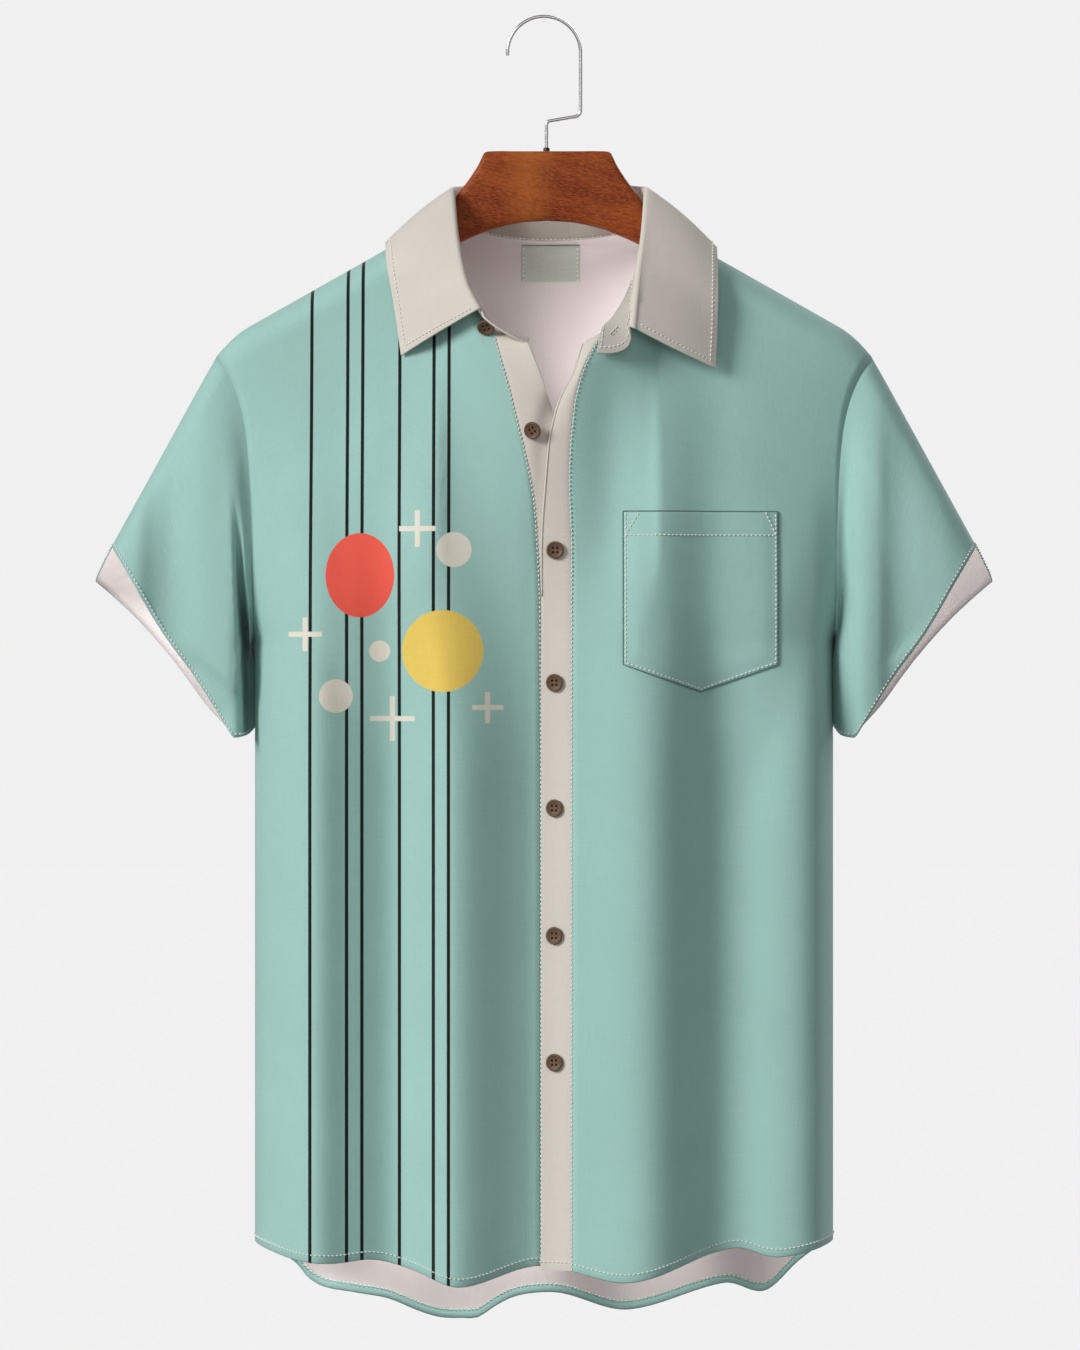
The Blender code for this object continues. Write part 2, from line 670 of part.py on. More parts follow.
def grid_mesh(name, grid, flip=False, closed=False):
    """Quads over a grid of points; closed joins each line's end to its start."""
    builder = bmesh.new()
    verts = [[builder.verts.new(point) for point in line] for line in grid]
    for low, high in zip(verts, verts[1:]):
        count = len(low)
        for index in range(count if closed else count - 1):
            after = (index + 1) % count
            corners = [low[index], low[after], high[after], high[index]]
            builder.faces.new(corners[::-1] if flip else corners)
    mesh = bpy.data.meshes.new(name)
    builder.to_mesh(mesh)
    builder.free()
    mesh.shade_smooth()
    return mesh


def add_sheet(name, grid, wall, finish, group, flip=False, closed=False):
    """A grid of points on the outer side, made solid inwards."""
    thing = add_object(name, grid_mesh(name, grid, flip, closed), finish, group)
    solid = thing.modifiers.new("wall", "SOLIDIFY")
    solid.thickness = wall
    solid.offset = -1.0
    solid.use_even_offset = True
    solid.use_quality_normals = True
    return thing


def seam_cutter(name, face, group):
    """Box over all that lies past the shoulder and side seams."""
    builder = bmesh.new()
    bmesh.ops.create_cube(builder, size=2.0, matrix=Matrix.Translation(
        (0.0, -face * 1.0 + face * SEAM / 2, 0.0)))
    mesh = bpy.data.meshes.new(name)
    builder.to_mesh(mesh)
    builder.free()
    cutter = bpy.data.objects.new(name, mesh)
    group.objects.link(cutter)
    cutter.hide_render = True
    cutter.display_type = "WIRE"
    return cutter


def trim(thing, cutter):
    cut = thing.modifiers.new("seam edge", "BOOLEAN")
    cut.operation = "DIFFERENCE"
    cut.object = cutter


def solid_tree(thing):
    """Tree of an object's evaluated mesh, for resting another piece on it."""
    graph = bpy.context.evaluated_depsgraph_get()
    return BVHTree.FromObject(thing, graph)


def rest_y(tree, x, z, from_y, towards):
    """y and normal where a line along Y first meets a solid."""
    hit, normal = tree.ray_cast(Vector((x, from_y, z)), Vector((0.0, towards, 0.0)))[:2]
    return hit.y, normal


def rest_over(tree, x, z, from_y, towards, reach):
    """y of the nearest point among a place and its neighbours at a reach."""
    places = [(x, z), (x - reach, z), (x + reach, z), (x, z - reach), (x, z + reach)]
    return min((rest_y(tree, across, up, from_y, towards)[0] for across, up in places),
               key=lambda y: abs(y - from_y))


def add_pocket(panel, finish, group):
    tree = solid_tree(panel)
    columns, rows = 12, 11
    middle = (POCKET_LEFT + POCKET_RIGHT) / 2
    half = (POCKET_RIGHT - POCKET_LEFT) / 2
    grid = []
    for row in range(rows + 1):
        line = []
        for column in range(columns + 1):
            x = lerp(POCKET_LEFT, POCKET_RIGHT, column / columns)
            point = 1.0 - abs(x - middle) / half
            foot = lerp(POCKET_SIDE, POCKET_POINT, point)
            z = lerp(foot, POCKET_TOP, row / rows)
            y = rest_over(tree, x, z, -1.0, 1.0, 0.0045)
            line.append(Vector((x, y - 2 * SEAM - CLOTH, z)))
        grid.append(line)
    return add_sheet("pocket", grid, CLOTH, finish, group)


def add_label(panel, finish, group):
    tree = solid_tree(panel)
    columns, rows = 4, 2
    grid = []
    for row in range(rows + 1):
        line = []
        for column in range(columns + 1):
            x = LABEL_CENTRE_X + LABEL_WIDTH * (column / columns - 0.5)
            z = LABEL_TOP - LABEL_HEIGHT * (1.0 - row / rows)
            y, normal = rest_y(tree, x, z, 0.0, 1.0)
            line.append(Vector((x, y - 2 * SEAM - LABEL_THICK, z)))
        grid.append(line)
    return add_sheet("neck_label", grid, LABEL_THICK, finish, group)


def button_mesh():
    """Turned disc with a dished face, before its holes are cut; +Z is its face."""
    profile = [(0.0, BUTTON_THICK - BUTTON_DISH), (0.60, BUTTON_THICK - BUTTON_DISH),
               (0.84, BUTTON_THICK), (1.0, BUTTON_THICK * 0.66),
               (0.88, 0.0), (0.0, 0.0)]
    mesh = bpy.data.meshes.new("button_profile")
    builder = bmesh.new()
    verts = [builder.verts.new((BUTTON_RADIUS * share, 0.0, height))
             for share, height in profile]
    for first, second in zip(verts, verts[1:]):
        builder.edges.new((first, second))
    builder.to_mesh(mesh)
    builder.free()
    return mesh


def hole_cutter(group):
    """Four posts that cut the button's holes."""
    builder = bmesh.new()
    for across in (-1, 1):
        for along in (-1, 1):
            place = Matrix.Translation((across * HOLE_OFFSET, along * HOLE_OFFSET,
                                        BUTTON_THICK / 2))
            bmesh.ops.create_cone(builder, cap_ends=True, segments=6, radius1=HOLE_RADIUS,
                                  radius2=HOLE_RADIUS, depth=3 * BUTTON_THICK, matrix=place)
    mesh = bpy.data.meshes.new("button_holes")
    builder.to_mesh(mesh)
    builder.free()
    cutter = bpy.data.objects.new("button_holes", mesh)
    group.objects.link(cutter)
    cutter.hide_render = True
    cutter.display_type = "WIRE"
    return cutter


def add_button(name, place, normal, spin, mesh, cutter, finish, group):
    """A button with its back at a place, facing along a normal."""
    thing = bpy.data.objects.new(name, mesh)
    group.objects.link(thing)
    if not mesh.materials:
        mesh.materials.append(finish)
    turned = thing.modifiers.new("turned", "SCREW")
    turned.axis = "Z"
    turned.steps = turned.render_steps = 18
    turned.use_merge_vertices = True
    turned.merge_threshold = 0.00001
    turned.use_normal_calculate = True
    holes = thing.modifiers.new("holes", "BOOLEAN")
    holes.operation = "DIFFERENCE"
    facing = normal.to_track_quat("Z", "Y").to_matrix().to_4x4()
    frame = Matrix.Translation(place) @ facing @ Matrix.Rotation(spin, 4, "Z")
    thing.matrix_world = frame
    tool = cutter.copy()
    tool.matrix_world = frame
    tool.name = name + "_holes"
    cutter.users_collection[0].objects.link(tool)
    holes.object = tool
    return thing


def hanger_ring(x, top, bottom, half, squareness, steps=14):
    """Rounded section of the hanger, square to X."""
    ring = []
    power = 2.0 / squareness
    for step in range(steps):
        turn = 2.0 * math.pi * (step + 0.5) / steps
        across = math.copysign(abs(math.cos(turn)) ** power, math.cos(turn))
        upward = math.copysign(abs(math.sin(turn)) ** power, math.sin(turn))
        ring.append(Vector((x, half * across, (top + bottom) / 2 + (top - bottom) / 2 * upward)))
    return ring


def add_hanger(finish, group):
    """Right half as a loft, mirrored at the joint in the middle of the head."""
    builder = bmesh.new()
    rings = [[builder.verts.new(point) for point in hanger_ring(*row)]
             for row in HANGER_SECTIONS]
    for near, far in zip(rings, rings[1:]):
        count = len(near)
        for index in range(count):
            after = (index + 1) % count
            builder.faces.new((near[index], near[after], far[after], far[index]))
    builder.faces.new(rings[-1])
    bmesh.ops.recalc_face_normals(builder, faces=builder.faces)
    mesh = bpy.data.meshes.new("hanger")
    builder.to_mesh(mesh)
    builder.free()
    mesh.shade_smooth()
    mesh.set_sharp_from_angle(angle=math.radians(40))
    thing = add_object("hanger", mesh, finish, group)
    thing.location.x = HANGER_X
    mirror = thing.modifiers.new("other half", "MIRROR")
    mirror.merge_threshold = 0.00001
    return thing


def arc_points(centre, radius, start, end, steps):
    """Points along an arc in the XZ plane; angles are in degrees from +X."""
    points = []
    for step in range(steps + 1):
        turn = math.radians(lerp(start, end, step / steps))
        points.append((centre[0] + radius * math.cos(turn), 0.0,
                       centre[1] + radius * math.sin(turn)))
    return points


def add_hook(finish, group):
    """Bent wire: half a circle, a straight side, a crank and a foot in the wood."""
    middle_z = WIRE_RADIUS - HOOK_RADIUS
    side_x = HOOK_RADIUS
    points = arc_points((0.0, middle_z), HOOK_RADIUS, 184.0, 0.0, 18)
    points += arc_points((side_x - HOOK_BEND, HOOK_SIDE_Z), HOOK_BEND, 0.0, -80.0, 4)
    points += arc_points((HOOK_FOOT_X + 0.0030, HOOK_CRANK_Z - 0.0045), 0.0030, 98.0, 180.0, 4)
    points.append((HOOK_FOOT_X, 0.0, HANGER_TOP_Z + SEAM))
    curve = bpy.data.curves.new("hook", "CURVE")
    curve.dimensions = "3D"
    curve.bevel_depth = WIRE_RADIUS
    curve.bevel_resolution = 2
    curve.use_fill_caps = True
    spline = curve.splines.new("POLY")
    spline.points.add(len(points) - 1)
    for target, point in zip(spline.points, points):
        target.co = (*point, 1.0)
    curve.materials.append(finish)
    thing = bpy.data.objects.new("hook", curve)
    group.objects.link(thing)
    return thing


def add_ferrule(finish, group):
    """Short ring round the wire's foot, standing on the wood."""
    mesh = bpy.data.meshes.new("ferrule")
    builder = bmesh.new()
    inner, outer, height = WIRE_RADIUS + SEAM, WIRE_RADIUS + 0.0016, 0.0028
    profile = [(inner, height), (outer - 0.0004, height), (outer, height - 0.0006),
               (outer, 0.0), (inner, 0.0)]
    verts = [builder.verts.new((x, 0.0, z)) for x, z in profile]
    for index, vert in enumerate(verts):
        builder.edges.new((vert, verts[(index + 1) % len(verts)]))
    builder.to_mesh(mesh)
    builder.free()
    thing = add_object("ferrule", mesh, finish, group)
    turned = thing.modifiers.new("turned", "SCREW")
    turned.axis = "Z"
    turned.steps = turned.render_steps = 16
    turned.use_merge_vertices = True
    turned.merge_threshold = 0.00001
    turned.use_normal_calculate = True
    thing.location = (HOOK_FOOT_X, 0.0, HANGER_TOP_Z + SEAM)
    return thing


def main():
    clear_scene()
    shirt = collection("bowling shirt")
    tools = collection("cutters")
    mint = material("mint cloth", (0.34, 0.55, 0.48), 0.85)
    cream = material("cream cloth", (0.66, 0.62, 0.54), 0.85)
    label = material("label weave", (0.46, 0.50, 0.44), 0.8)
    horn = material("brown button", (0.17, 0.11, 0.08), 0.45)
    wood = material("stained wood", (0.30, 0.07, 0.03), 0.4)
    steel = material("steel wire", (0.75, 0.75, 0.76), 0.25, 1.0)

    right_grid, left_grid = make_front_right(), make_front_left()
    front_right = add_sheet("front_right", right_grid, CLOTH, mint, shirt, flip=True)
    front_left = add_sheet("front_left", left_grid, CLOTH, mint, shirt)
    back = add_sheet("back", make_back(), CLOTH, mint, shirt, flip=True)
    past_front = seam_cutter("past the front", -1, tools)
    past_back = seam_cutter("past the back", 1, tools)
    trim(front_right, past_front)
    trim(front_left, past_front)
    trim(back, past_back)
    band_grid = make_strip(right_grid, BUTTON_BAND,
                           lambda x, z, share: right_front_y(x, z), 1)
    hole_band_grid = make_strip(left_grid, BUTTONHOLE_BAND, buttonhole_band_y, -1)
    button_band = add_sheet("button_band", band_grid, BAND, cream, shirt)
    hole_band = add_sheet("buttonhole_band", hole_band_grid, BAND, cream, shirt, flip=True)
    add_sheet("sleeve_right", make_sleeve(-1), CLOTH, mint, shirt, closed=True)
    add_sheet("sleeve_left", make_sleeve(1), CLOTH, mint, shirt, flip=True, closed=True)
    add_sheet("collar_stand", make_collar_stand(), BAND, cream, shirt)
    add_sheet("collar_leaf", make_collar_leaf(), BAND, cream, shirt)
    add_pocket(front_left, mint, shirt)
    add_label(back, label, shirt)

    mesh, cutter = button_mesh(), hole_cutter(tools)
    tree = solid_tree(hole_band)
    for number, z in enumerate(BUTTON_ZS):
        y, normal = rest_y(tree, BUTTON_X, z, -1.0, 1.0)
        place = Vector((BUTTON_X, y, z)) + normal * 3 * SEAM
        add_button("button_%d" % (number + 2), place, normal, 0.2 * number, mesh, cutter,
                   horn, shirt)
    x, z = LOOSE_BUTTON
    y, normal = rest_y(solid_tree(button_band), x, z, -1.0, 1.0)
    add_button("button_1", Vector((x, y, z)) + normal * 2 * SEAM, normal, 0.7, mesh, cutter,
               horn, shirt)
    add_button("button_collar", Vector((-0.0418, -0.0708, -0.2262)),
               Vector((-0.20, -0.65, -0.70)).normalized(), 0.3, mesh, cutter, horn, shirt)
    bpy.data.objects.remove(cutter, do_unlink=True)

    add_hanger(wood, shirt)
    add_hook(steel, shirt)
    add_ferrule(steel, shirt)


main()
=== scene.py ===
# %% [markdown]
# # A bowling shirt on a wooden hanger
# The real thing is eleven cut pieces of light shirting, seven buttons and a hanger. The
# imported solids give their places. Here each piece is drawn again as a thin sheet on the
# same surface, finely enough to carry soft folds, hems, stitches and a weave.

# %% Load the frame
import math

import bmesh
import bpy
from mathutils import Matrix, Vector


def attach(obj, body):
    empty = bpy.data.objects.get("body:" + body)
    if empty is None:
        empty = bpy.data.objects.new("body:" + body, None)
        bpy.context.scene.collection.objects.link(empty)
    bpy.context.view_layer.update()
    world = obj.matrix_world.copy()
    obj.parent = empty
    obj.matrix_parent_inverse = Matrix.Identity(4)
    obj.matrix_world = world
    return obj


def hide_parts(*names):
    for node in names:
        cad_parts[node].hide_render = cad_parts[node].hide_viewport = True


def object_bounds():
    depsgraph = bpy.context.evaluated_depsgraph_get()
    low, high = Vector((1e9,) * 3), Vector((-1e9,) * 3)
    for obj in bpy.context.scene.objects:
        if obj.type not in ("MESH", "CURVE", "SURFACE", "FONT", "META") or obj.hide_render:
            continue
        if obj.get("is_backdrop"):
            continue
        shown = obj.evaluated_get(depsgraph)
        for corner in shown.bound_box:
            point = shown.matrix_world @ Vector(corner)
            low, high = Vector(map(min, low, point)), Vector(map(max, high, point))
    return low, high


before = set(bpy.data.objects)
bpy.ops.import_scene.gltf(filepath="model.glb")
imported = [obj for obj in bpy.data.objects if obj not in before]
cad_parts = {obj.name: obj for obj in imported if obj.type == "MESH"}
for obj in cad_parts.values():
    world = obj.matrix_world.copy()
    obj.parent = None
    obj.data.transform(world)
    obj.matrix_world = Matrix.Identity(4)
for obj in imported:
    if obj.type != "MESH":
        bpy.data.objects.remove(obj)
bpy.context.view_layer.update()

# %% [markdown]
# ## Sizes
# A shirt is drafted from a few lengths: half its width, the drop of the shoulder, the
# depth of the neck, where the armpit lies. All are in metres from the inside top of the
# hook. The front faces -Y and the wearer's left is +X.

# %% Body sizes
CLOTH = 0.0007            # one layer, with the air it holds
DOUBLED = 0.0017          # bands and collar: two layers and the stiff one between
HALF_WIDTH = 0.208
FRONT_DEPTH, BACK_DEPTH = 0.090, 0.085
SQUARENESS = 2.6
ARMPIT_Z = -0.448
TIP_X = 0.2365
SHOULDER_Z, SHOULDER_SLOPE, SHOULDER_START = -0.146, 0.564, 0.077
SHOULDER_ROUND_FROM, SHOULDER_ROUND = 0.212, 14.5
CHEST_HEIGHT, CHEST_WIDENING = 0.200, 0.038   # the body widens this much above the armpit
ARMHOLE_X, ARMHOLE_GAP = 0.2115, 0.0003
TIP_FLARE, TIP_FLARE_END = 0.030, 0.2         # the armhole runs out to the shoulder's tip
NECK_RISE_FROM, NECK_RISE = 0.114, 6.6
SHOULDER_RADIUS, SHOULDER_SHARE, CHEST_DROP = 0.022, 0.36, 0.26
NECK_X, NECK_HALF_WIDTH = 0.003, 0.077
NECK_FRONT, NECK_BACK = 0.070, 0.066
NECK_FRONT_Z, NECK_BACK_Z = -0.2365, -0.153
NECK_DIP = 1.15
NECK_SAG, NECK_SAG_ANGLE, NECK_SAG_SPREAD = 0.006, 32.0, 16.0
LAP_DROP, LAP_BLEND = 0.0022, 0.014
BAND_LIFT = 0.0005
FOLDS_START, FOLDS_FULL = -0.300, -0.560
CREASE_SETTLE, CREASE_MARGIN = 0.03, 0.02     # creases fade out at seams over this much
BELOW_ALL_Z = -0.900                          # the tables of the bands end here

# %% [markdown]
# ## Folds and edges
# Cloth that hangs from two arms falls in tubes. Each row of these tables is one crest or
# hollow: where it starts under the chest, where it ends at the hem, and how far it stands
# out. They're uneven on purpose, since even folds look like a curtain.

# %% Fold and hem tables
#              x where it starts, x at the hem, height
FRONT_FOLDS = [
    ("side seam", -0.208, -0.208, 0.000),
    ("rolled side", -0.200, -0.200, 0.007),
    ("outer crest", -0.166, -0.164, 0.018),
    ("its flank", -0.142, -0.137, -0.001),
    ("outer hollow", -0.119, -0.102, -0.018),
    ("main crest", -0.088, -0.066, 0.015),
    ("hollow at the bands", -0.022, -0.010, -0.014),
    ("beside the bands", 0.020, 0.027, -0.002),
    ("main crest, left", 0.060, 0.067, 0.013),
    ("its flank, left", 0.084, 0.089, 0.008),
    ("deep hollow", 0.112, 0.118, -0.018),
    ("deep hollow's side", 0.131, 0.135, -0.017),
    ("outer crest, left", 0.190, 0.194, 0.015),
    ("side seam, left", 0.208, 0.208, 0.000),
]
BACK_FOLDS = [
    ("side seam", -0.208, -0.208, 0.000),
    ("outer crest", -0.166, -0.170, 0.005),
    ("outer hollow", -0.112, -0.122, -0.012),
    ("crest", -0.062, -0.056, 0.012),
    ("middle hollow", 0.002, 0.006, -0.014),
    ("crest, left", 0.052, 0.060, 0.013),
    ("hollow, left", 0.110, 0.120, -0.012),
    ("outer crest, left", 0.166, 0.168, 0.006),
    ("side seam, left", 0.208, 0.208, 0.000),
]
# Smaller creases, drawn as soft strokes from a first point to a second.
#   name, face (-1 front, 1 back), x, z, x, z, half width, height
CREASES = [
    ("from the right armhole", -1, -0.196, -0.395, -0.120, -0.520, 0.016, -0.0022),
    ("under the right collar", -1, -0.100, -0.270, -0.118, -0.420, 0.018, -0.0020),
    ("from the left armhole", -1, 0.196, -0.400, 0.150, -0.560, 0.018, -0.0025),
    ("under the left collar", -1, 0.122, -0.260, 0.124, -0.400, 0.020, -0.0022),
    ("left chest", -1, 0.088, -0.280, 0.080, -0.420, 0.022, 0.0028),
    ("left chest, beside the bands", -1, 0.047, -0.265, 0.046, -0.400, 0.019, -0.0042),
    ("right chest", -1, -0.142, -0.270, -0.142, -0.420, 0.024, -0.0040),
    ("back, right armhole", 1, -0.192, -0.390, -0.110, -0.560, 0.018, -0.0030),
    ("back, left armhole", 1, 0.190, -0.400, 0.120, -0.540, 0.018, -0.0028),
    ("back, right blade", 1, -0.090, -0.210, -0.070, -0.430, 0.022, -0.0025),
    ("back, left blade", 1, 0.086, -0.215, 0.064, -0.450, 0.020, -0.0022),
    ("back waist", 1, -0.030, -0.600, 0.040, -0.640, 0.016, -0.0015),
]
#              x, z of the lower edge
FRONT_HEM = [
    (-0.208, -0.880), (-0.176, -0.889), (-0.150, -0.891), (-0.121, -0.889),
    (-0.094, -0.896), (-0.059, -0.9065), (-0.003, -0.893), (0.060, -0.9035),
    (0.135, -0.8815), (0.166, -0.8875), (0.208, -0.879),
]
BACK_HEM = [
    (-0.208, -0.880), (-0.196, -0.888), (-0.180, -0.901), (-0.172, -0.911),
    (-0.160, -0.918), (-0.137, -0.922), (-0.114, -0.9265), (-0.091, -0.937),
    (-0.076, -0.942), (-0.060, -0.943), (-0.048, -0.9425), (-0.037, -0.935),
    (-0.023, -0.927), (-0.007, -0.923), (0.012, -0.923), (0.061, -0.937),
    (0.131, -0.915), (0.161, -0.921), (0.186, -0.898), (0.208, -0.879),
]
#              outer z, outer x, inner x, drop of the inner point
BUTTON_BAND = [
    (-0.2275, -0.0360, -0.0122, 0.0079),
    (-0.2460, -0.0307, -0.0068, 0.0025),
    (-0.2678, -0.0245, -0.0003, -0.0020),
    (-0.2900, -0.0190, 0.0068, -0.0030),
    (-0.3139, -0.0130, 0.0125, -0.0030),
    (-0.3463, -0.0068, 0.0170, -0.0020),
    (-0.3758, -0.0043, 0.0195, -0.0010),
    (-0.4334, -0.0018, 0.0215, 0.0000),
    (-0.9000, -0.0010, 0.0220, 0.0000),
]
BUTTONHOLE_BAND = [
    (-0.2260, 0.0436, 0.0266, 0.0116),
    (-0.2426, 0.0331, 0.0238, 0.0058),
    (-0.2570, 0.0266, 0.0206, 0.0015),
    (-0.2750, 0.0216, 0.0118, 0.0000),
    (-0.2890, 0.0198, 0.0070, 0.0000),
    (-0.3060, 0.0180, 0.0033, 0.0000),
    (-0.3350, 0.0170, 0.0006, 0.0000),
    (-0.3760, 0.0184, -0.0023, 0.0000),
    (-0.4334, 0.0187, -0.0022, 0.0000),
    (-0.9000, 0.0187, -0.0022, 0.0000),
]
#              z, how far the open end turns back into the neck
BAND_TURN = [
    (-0.226, 0.003), (-0.245, 0.006), (-0.262, 0.006), (-0.280, 0.004),
    (-0.305, 0.001), (-0.340, 0.000), (-0.900, 0.000),
]
print(len(FRONT_FOLDS) + len(BACK_FOLDS), "folds and", len(CREASES), "creases")

# %% [markdown]
# ## The body's surface
# The body is one flattened oval tube, closed over the shoulders. A single function gives
# its depth at any place, so the panels, the bands, the pocket and the stitches all agree
# on where the cloth is. A smooth curve through a table's rows gives every edge.

# %% Curve helpers
def smooth(value):
    value = min(max(value, 0.0), 1.0)
    return value * value * (3.0 - 2.0 * value)


def lerp(start, end, share):
    return start + (end - start) * share


def read_table(rows, value, column):
    """Smooth curve through a table's rows, read at a value of its first column."""
    ordered = sorted(rows, key=lambda row: row[0])
    keys = [row[0] for row in ordered]
    heights = [row[column] for row in ordered]
    value = min(max(value, keys[0]), keys[-1])
    last = len(keys) - 1
    index = 0
    while index < last - 1 and value > keys[index + 1]:
        index += 1

    def tangent(at):
        low, high = max(at - 1, 0), min(at + 1, last)
        return (heights[high] - heights[low]) / (keys[high] - keys[low])

    span = keys[index + 1] - keys[index]
    share = (value - keys[index]) / span
    square, cube = share * share, share ** 3
    return (heights[index] * (2 * cube - 3 * square + 1)
            + heights[index + 1] * (3 * square - 2 * cube)
            + tangent(index) * span * (cube - 2 * square + share)
            + tangent(index + 1) * span * (cube - square))


print("a smooth step at a quarter:", smooth(0.25))


# %% Shoulder and neck
def shoulder_z(x):
    along = abs(x)
    past = max(0.0, along - SHOULDER_ROUND_FROM)
    rise = max(0.0, NECK_RISE_FROM - along)
    return (SHOULDER_Z - SHOULDER_SLOPE * (along - SHOULDER_START)
            - SHOULDER_ROUND * past ** 2 + NECK_RISE * rise ** 2)


TIP_Z = shoulder_z(TIP_X)


def neck_sag(angle):
    return NECK_SAG * math.exp(-((angle - NECK_SAG_ANGLE) / NECK_SAG_SPREAD) ** 2)


def neck_point(angle):
    """Point of the neck seam; degrees clockwise from the front middle."""
    turn = math.radians(angle)
    across, ahead = math.sin(turn), math.cos(turn)
    side_x = NECK_X - NECK_HALF_WIDTH * math.copysign(1.0, across)
    middle_z, reach = (NECK_FRONT_Z, NECK_FRONT) if ahead > 0 else (NECK_BACK_Z, NECK_BACK)
    seam_z = lerp(shoulder_z(side_x), middle_z, abs(ahead) ** NECK_DIP)
    return Vector((NECK_X - NECK_HALF_WIDTH * across, -reach * ahead,
                   seam_z - neck_sag(min(angle, 360.0 - angle))))


def neck_share(x):
    across = min(abs((x - NECK_X) / NECK_HALF_WIDTH), 1.0)
    return math.sqrt(1.0 - across * across)


def top_z(x, face):
    share = neck_share(x)
    if share == 0.0:
        return shoulder_z(x)
    side_x = NECK_X + math.copysign(NECK_HALF_WIDTH, x - NECK_X)
    middle_z = NECK_FRONT_Z if face < 0 else NECK_BACK_Z
    edge = lerp(shoulder_z(side_x), middle_z, share ** NECK_DIP)
    return edge - neck_sag(math.degrees(math.acos(share))) if face < 0 else edge


print("neck seam, front and back:", top_z(NECK_X, -1), top_z(NECK_X, 1))


# %% Depth of the body
def body_half_width(z):
    climb = min(max((z - ARMPIT_Z) / CHEST_HEIGHT, 0.0), 1.0)
    return HALF_WIDTH + CHEST_WIDENING * (1.0 - (1.0 - climb) ** 2)


def oval(x, z):
    across = min(abs(x) / body_half_width(z), 1.0)
    return (1.0 - across ** SQUARENESS) ** (1.0 / SQUARENESS)


def fold(x, z, rows):
    grown = smooth((FOLDS_START - z) / (FOLDS_START - FOLDS_FULL))
    if grown == 0.0:
        return 0.0
    placed = [(lerp(row[1], row[2], grown), row[3]) for row in rows]
    return grown * read_table(placed, x, 1)


def beside_stroke(x, z, x1, z1, x2, z2):
    """Share of the way along a stroke, and the distance from its line."""
    run_x, run_z = x2 - x1, z2 - z1
    length = math.hypot(run_x, run_z)
    return (((x - x1) * run_x + (z - z1) * run_z) / length ** 2,
            ((x - x1) * run_z - (z - z1) * run_x) / length)


def faded(along, past_end=0.25):
    """1 on a stroke, falling to 0 a little past both its ends."""
    return smooth((along + 0.25) * 2.0) * smooth((1.0 + past_end - along) * 2.0)


def crease(x, z, face):
    """Sum of the small strokes, each fading out at both ends."""
    total = 0.0
    for _, side, *ends, wide, height in CREASES:
        if side == face:
            along, away = beside_stroke(x, z, *ends)
            total += height * faded(along) * math.exp(-(away / wide) ** 2)
    return total


def depth(x, z, face):
    """Distance from the body's middle to its front (face -1) or back (face 1)."""
    full = FRONT_DEPTH if face < 0 else BACK_DEPTH
    neck = NECK_FRONT if face < 0 else NECK_BACK
    below = max(0.0, top_z(x, face) - z)
    turned = min(below / SHOULDER_RADIUS, 1.0)
    grown = (SHOULDER_SHARE * math.sqrt(1.0 - (1.0 - turned) ** 2)
             + (1.0 - SHOULDER_SHARE) * smooth(below / CHEST_DROP))
    settled = (smooth(below / CREASE_SETTLE)
               * smooth((HALF_WIDTH + CREASE_MARGIN - abs(x)) / CREASE_SETTLE))
    return (lerp(neck * neck_share(x), full * oval(x, z), grown)
            + fold(x, z, FRONT_FOLDS if face < 0 else BACK_FOLDS)
            + crease(x, z, face) * settled)


def front_y(x, z):
    return -depth(x, z, -1)


def lap(x, z):
    """How far the right front passes behind the buttonhole band."""
    edge = read_table(BUTTONHOLE_BAND, z, 2)
    return (LAP_DROP + read_table(BAND_TURN, z, 1)) * smooth((x - edge + LAP_BLEND) / LAP_BLEND)


def right_front_y(x, z):
    return front_y(x, z) + lap(x, z)


def back_y(x, z):
    return depth(x, z, 1)


def armhole_x(z):
    fall = TIP_Z - z
    steady = lerp(HALF_WIDTH - ARMHOLE_GAP, ARMHOLE_X, (z - ARMPIT_Z) / (TIP_Z - ARMPIT_Z))
    flare = math.exp(-fall / TIP_FLARE) * (1.0 - smooth(fall / TIP_FLARE_END))
    return steady + (TIP_X - ARMHOLE_X) * flare


print("shoulder tip at", round(TIP_X, 4), round(TIP_Z, 4))

# %% [markdown]
# ## Panels
# Each panel is a grid of points between four edges: the hem or armpit below, the neck and
# shoulder above, the middle edge and the armhole. Blending the four edges gives even
# quads, which bend smoothly and show no pinched triangles at the corners.

# %% Panel grids
COLUMNS, ROWS_BELOW, ROWS_ABOVE = 54, 76, 56
NECK_COLUMN_SHARE = 0.42


def hem_z(x, face):
    return read_table(FRONT_HEM if face < 0 else BACK_HEM, x, 1)


def column_share(column):
    """Columns crowd towards the side seam, where the oval turns away."""
    return math.sin(math.radians(90.0 * column / COLUMNS))


def row_share(row):
    return math.sin(math.radians(90.0 * row / ROWS_ABOVE))


def top_outline(column, inner_x, side):
    share = column / COLUMNS
    neck_side = NECK_X + side * NECK_HALF_WIDTH
    if share <= NECK_COLUMN_SHARE:
        start = math.asin(min(abs(inner_x - NECK_X) / NECK_HALF_WIDTH, 1.0))
        turn = lerp(start, math.pi / 2, share / NECK_COLUMN_SHARE)
        return NECK_X + side * NECK_HALF_WIDTH * math.sin(turn)
    along = (share - NECK_COLUMN_SHARE) / (1.0 - NECK_COLUMN_SHARE)
    return lerp(neck_side, side * TIP_X, along)


